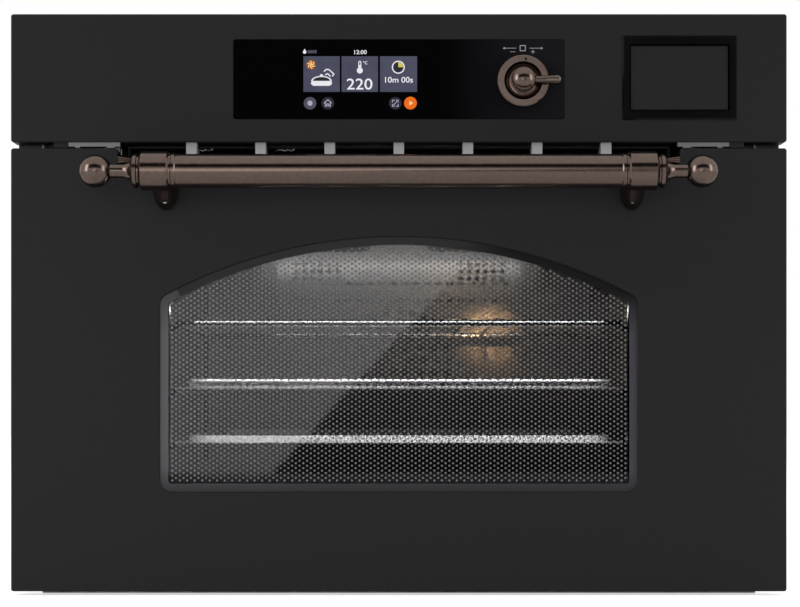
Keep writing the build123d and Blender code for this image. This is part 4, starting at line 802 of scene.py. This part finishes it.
# Button marks: a dot, a house made of a roof and two walls, and four corners of a frame with a stroke.
house_line, frame_line = 0.0007, 0.0006
roof = ((-0.0028, 0.0002), (0.0, 0.0027), (0.0028, 0.0002))
wall = ((0.0019, 0.0006), (0.0019, -0.0022), (0.0007, -0.0022), (0.0007, -0.0006), (0.0, -0.0006))
frame_corner = ((0.0007, 0.0023), (0.0022, 0.0023), (0.0022, 0.0008))
frame_stroke = ((-0.0012, -0.0013), (0.0012, 0.0013))
button_marks = start_print("screen_button_marks")
disc(power_x, button_z, 0.0020, inner_lift, 16)
stroke(home_x, button_z, roof, house_line, inner_lift)
for side in (-1, 1):
    stroke(home_x, button_z, [(side * x, z) for x, z in wall], house_line, inner_lift)
    for end in (-1, 1):
        turned_corner = [(side * x, end * z) for x, z in frame_corner]
        stroke(frame_x, button_z, turned_corner, frame_line, inner_lift)
stroke(frame_x, button_z, frame_stroke, frame_line, inner_lift)
finish_print(button_marks, lit("screen_pale_lilac", "#aaa9c0", "#bdbcd0", 0.9))

# Start button: an orange disc, whose triangle is drawn with the fan's blades.
start_x, start_z, start_radius = 0.0089, 0.3774, 0.0049
orange_shapes = start_print("screen_orange_shapes")
disc(start_x, start_z, start_radius, shape_lift, smooth_disc)
finish_print(orange_shapes, lit("screen_orange", "#e8641a", "#f07422", 1.0))

# Fan symbol: a burnt orange disc with six swirled blades, each given by its radii and their swirl.
fan_x, fan_z, fan_radius = -0.0672, 0.4068, 0.0037
blade_count, blade_width = 6, 0.0008
blade_bend = ((0.0006, 0.0), (0.0018, 0.15), (0.0029, 0.75))
fan_disc = start_print("screen_fan_disc")
disc(fan_x, fan_z, fan_radius, shape_lift, smooth_disc)
finish_print(fan_disc, lit("screen_burnt_orange", "#8f4614", "#a2541c", 1.0))
fan_blades = start_print("screen_fan_blades")
for blade in range(blade_count):
    turns = [(radius, blade * math.tau / blade_count + swirl) for radius, swirl in blade_bend]
    points = [(radius * math.cos(turn), radius * math.sin(turn)) for radius, turn in turns]
    stroke(fan_x, fan_z, points, blade_width, inner_lift)
disc(start_x + 0.0002, start_z, 0.0021, inner_lift, triangle, math.pi / 2)
finish_print(fan_blades, lit("screen_pale_amber", "#f0c484", "#fad49a", 1.0))

# Clock's quarter: a yellow disc cut away below and to the left of the clock's middle.
yellow_quarter = start_print("screen_yellow_quarter")
disc(clock_x, clock_z, 0.0039, top_lift, smoothest_disc)
for cut_away in ((0, 0, -1), (-1, 0, 0)):
    bpy.ops.mesh.select_all(action="SELECT")
    bpy.ops.mesh.bisect(plane_co=(clock_x, screen_y, clock_z), plane_no=cut_away, clear_outer=True)
finish_print(yellow_quarter, lit("screen_yellow", "#c9bc5a", "#d8cb68", 1.0))

# Figures on the screen: plain upright numbers for the hour, the temperature and the time left.
# They are set as text, a little bolder and wider than the font, made into flat meshes and joined.
figure_weight = 0.00005
figures = []
for words, x, z, height, stretch in (
    ("220", -0.0301, 0.3879, 0.0119, 1.14),
    ("12:00", -0.0298, 0.4150, 0.0043, 1.1),
    ("10m 00s", -0.0004, 0.3932, 0.0061, 1.09),
    ("\u00b0C", -0.0258, 0.4072, 0.0032, 1.0),
):
    bpy.ops.object.text_add(location=(x, screen_y - shape_lift, z), rotation=(math.pi / 2, 0, 0))
    text = bpy.context.object
    text.data.body = words
    text.data.size = height
    text.data.offset = figure_weight
    text.data.align_x = "CENTER"
    text.scale[0] = stretch
    bpy.ops.object.convert(target="MESH")
    figures.append(bpy.context.object)
bpy.ops.object.select_all(action="DESELECT")
for text in figures:
    text.select_set(True)
bpy.context.view_layer.objects.active = figures[0]
bpy.ops.object.join()
bpy.ops.object.transform_apply(location=True, rotation=True, scale=True)
numbers = bpy.context.object
numbers.name = "screen_figures"
finish_print(numbers, lit("screen_figure_white", "#eaeaf2", "#f6f6fc", 1.0))

# Marks over the knob: a square, two arrows, a minus and a plus, screen-printed in pale grey on the glass.
# They are thin flat shapes on the pane, each bar given by its middle, its length and its height.
ink_lift = 0.00006
arrow_z, arrow_radius = 0.4195, 0.0012
marks = start_print("knob_printed_marks")
for x, z, length, height in (
    (0.0950, 0.4215, 0.0044, 0.0006), (0.0950, 0.4175, 0.0044, 0.0006),
    (0.0930, arrow_z, 0.0006, 0.0034), (0.0970, arrow_z, 0.0006, 0.0034),
    (0.0858, arrow_z, 0.0086, 0.0004), (0.1044, arrow_z, 0.0086, 0.0004),
    (0.0873, 0.4168, 0.0040, 0.0004), (0.1028, 0.4168, 0.0030, 0.0005), (0.1028, 0.4168, 0.0005, 0.0030),
):
    bar(x, z, length, height, ink_lift)
for x, turn in ((0.0808, -math.pi / 2), (0.1094, math.pi / 2)):
    disc(x, arrow_z, arrow_radius, ink_lift, triangle, turn)
print_grey = speckled_finish(
    "pale_screen_print", {"Specular IOR Level": 0.2},
    grain_mm=0.7, relief=0.05, roughness=(0.5, 0.6), colours=("#96969c", "#a6a6ac"),
)
finish_print(marks, print_grey)

# Index of the knob: a small blind hole drilled in the ring's face, filled with black lacquer.
# It is a shallow disc on the ring that turns with the knob.
knob_centre_x, knob_centre_z = 0.095, 0.3935
index_across, index_up, index_radius = 0.0019, 0.0163, 0.00105
ring_behind_knob = 0.0135
lacquer_lift = 0.00005
ring_face_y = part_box("knob")[0].y + ring_behind_knob
bpy.ops.mesh.primitive_circle_add(
    vertices=18, radius=index_radius, fill_type="NGON", rotation=(math.pi / 2, 0, 0),
    location=(knob_centre_x + index_across, ring_face_y - lacquer_lift, knob_centre_z + index_up),
)
index = bpy.context.object
index.name = "knob_index_dot"
bpy.ops.object.transform_apply(location=True, rotation=True, scale=True)
lacquer = speckled_finish(
    "black_index_lacquer", {"Specular IOR Level": 0.2},
    grain_mm=0.5, relief=0.1, roughness=(0.5, 0.6), colours=("#060404", "#0a0707"),
)
index.data.materials.append(lacquer)
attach(index, "knob")

# Spring wires in the vent: two thin bent wires, bright plated, clipped in the channel behind its ribs.
# Both follow one bent route, the second further to the right.
wire_radius = 0.00045
wire_route = (
    (-0.1545, -0.0035, 0.3427), (-0.1500, -0.0050, 0.3443), (-0.1470, -0.0050, 0.3423),
    (-0.1440, -0.0045, 0.3450), (-0.1475, -0.0030, 0.3462), (-0.1430, -0.0030, 0.3429),
    (-0.1402, -0.0045, 0.3437), (-0.1385, -0.0035, 0.3461),
)
for name, shift in (("vent_spring_wire_left", -0.0046), ("vent_spring_wire_right", 0.0588)):
    shifted = [(x + shift, y, z) for x, y, z in wire_route]
    wire = round_run(
        name, shifted, wire_radius, 2, plating, "NURBS", order_u=3, use_endpoint_u=True
    )
    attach(wire, "oven_body")
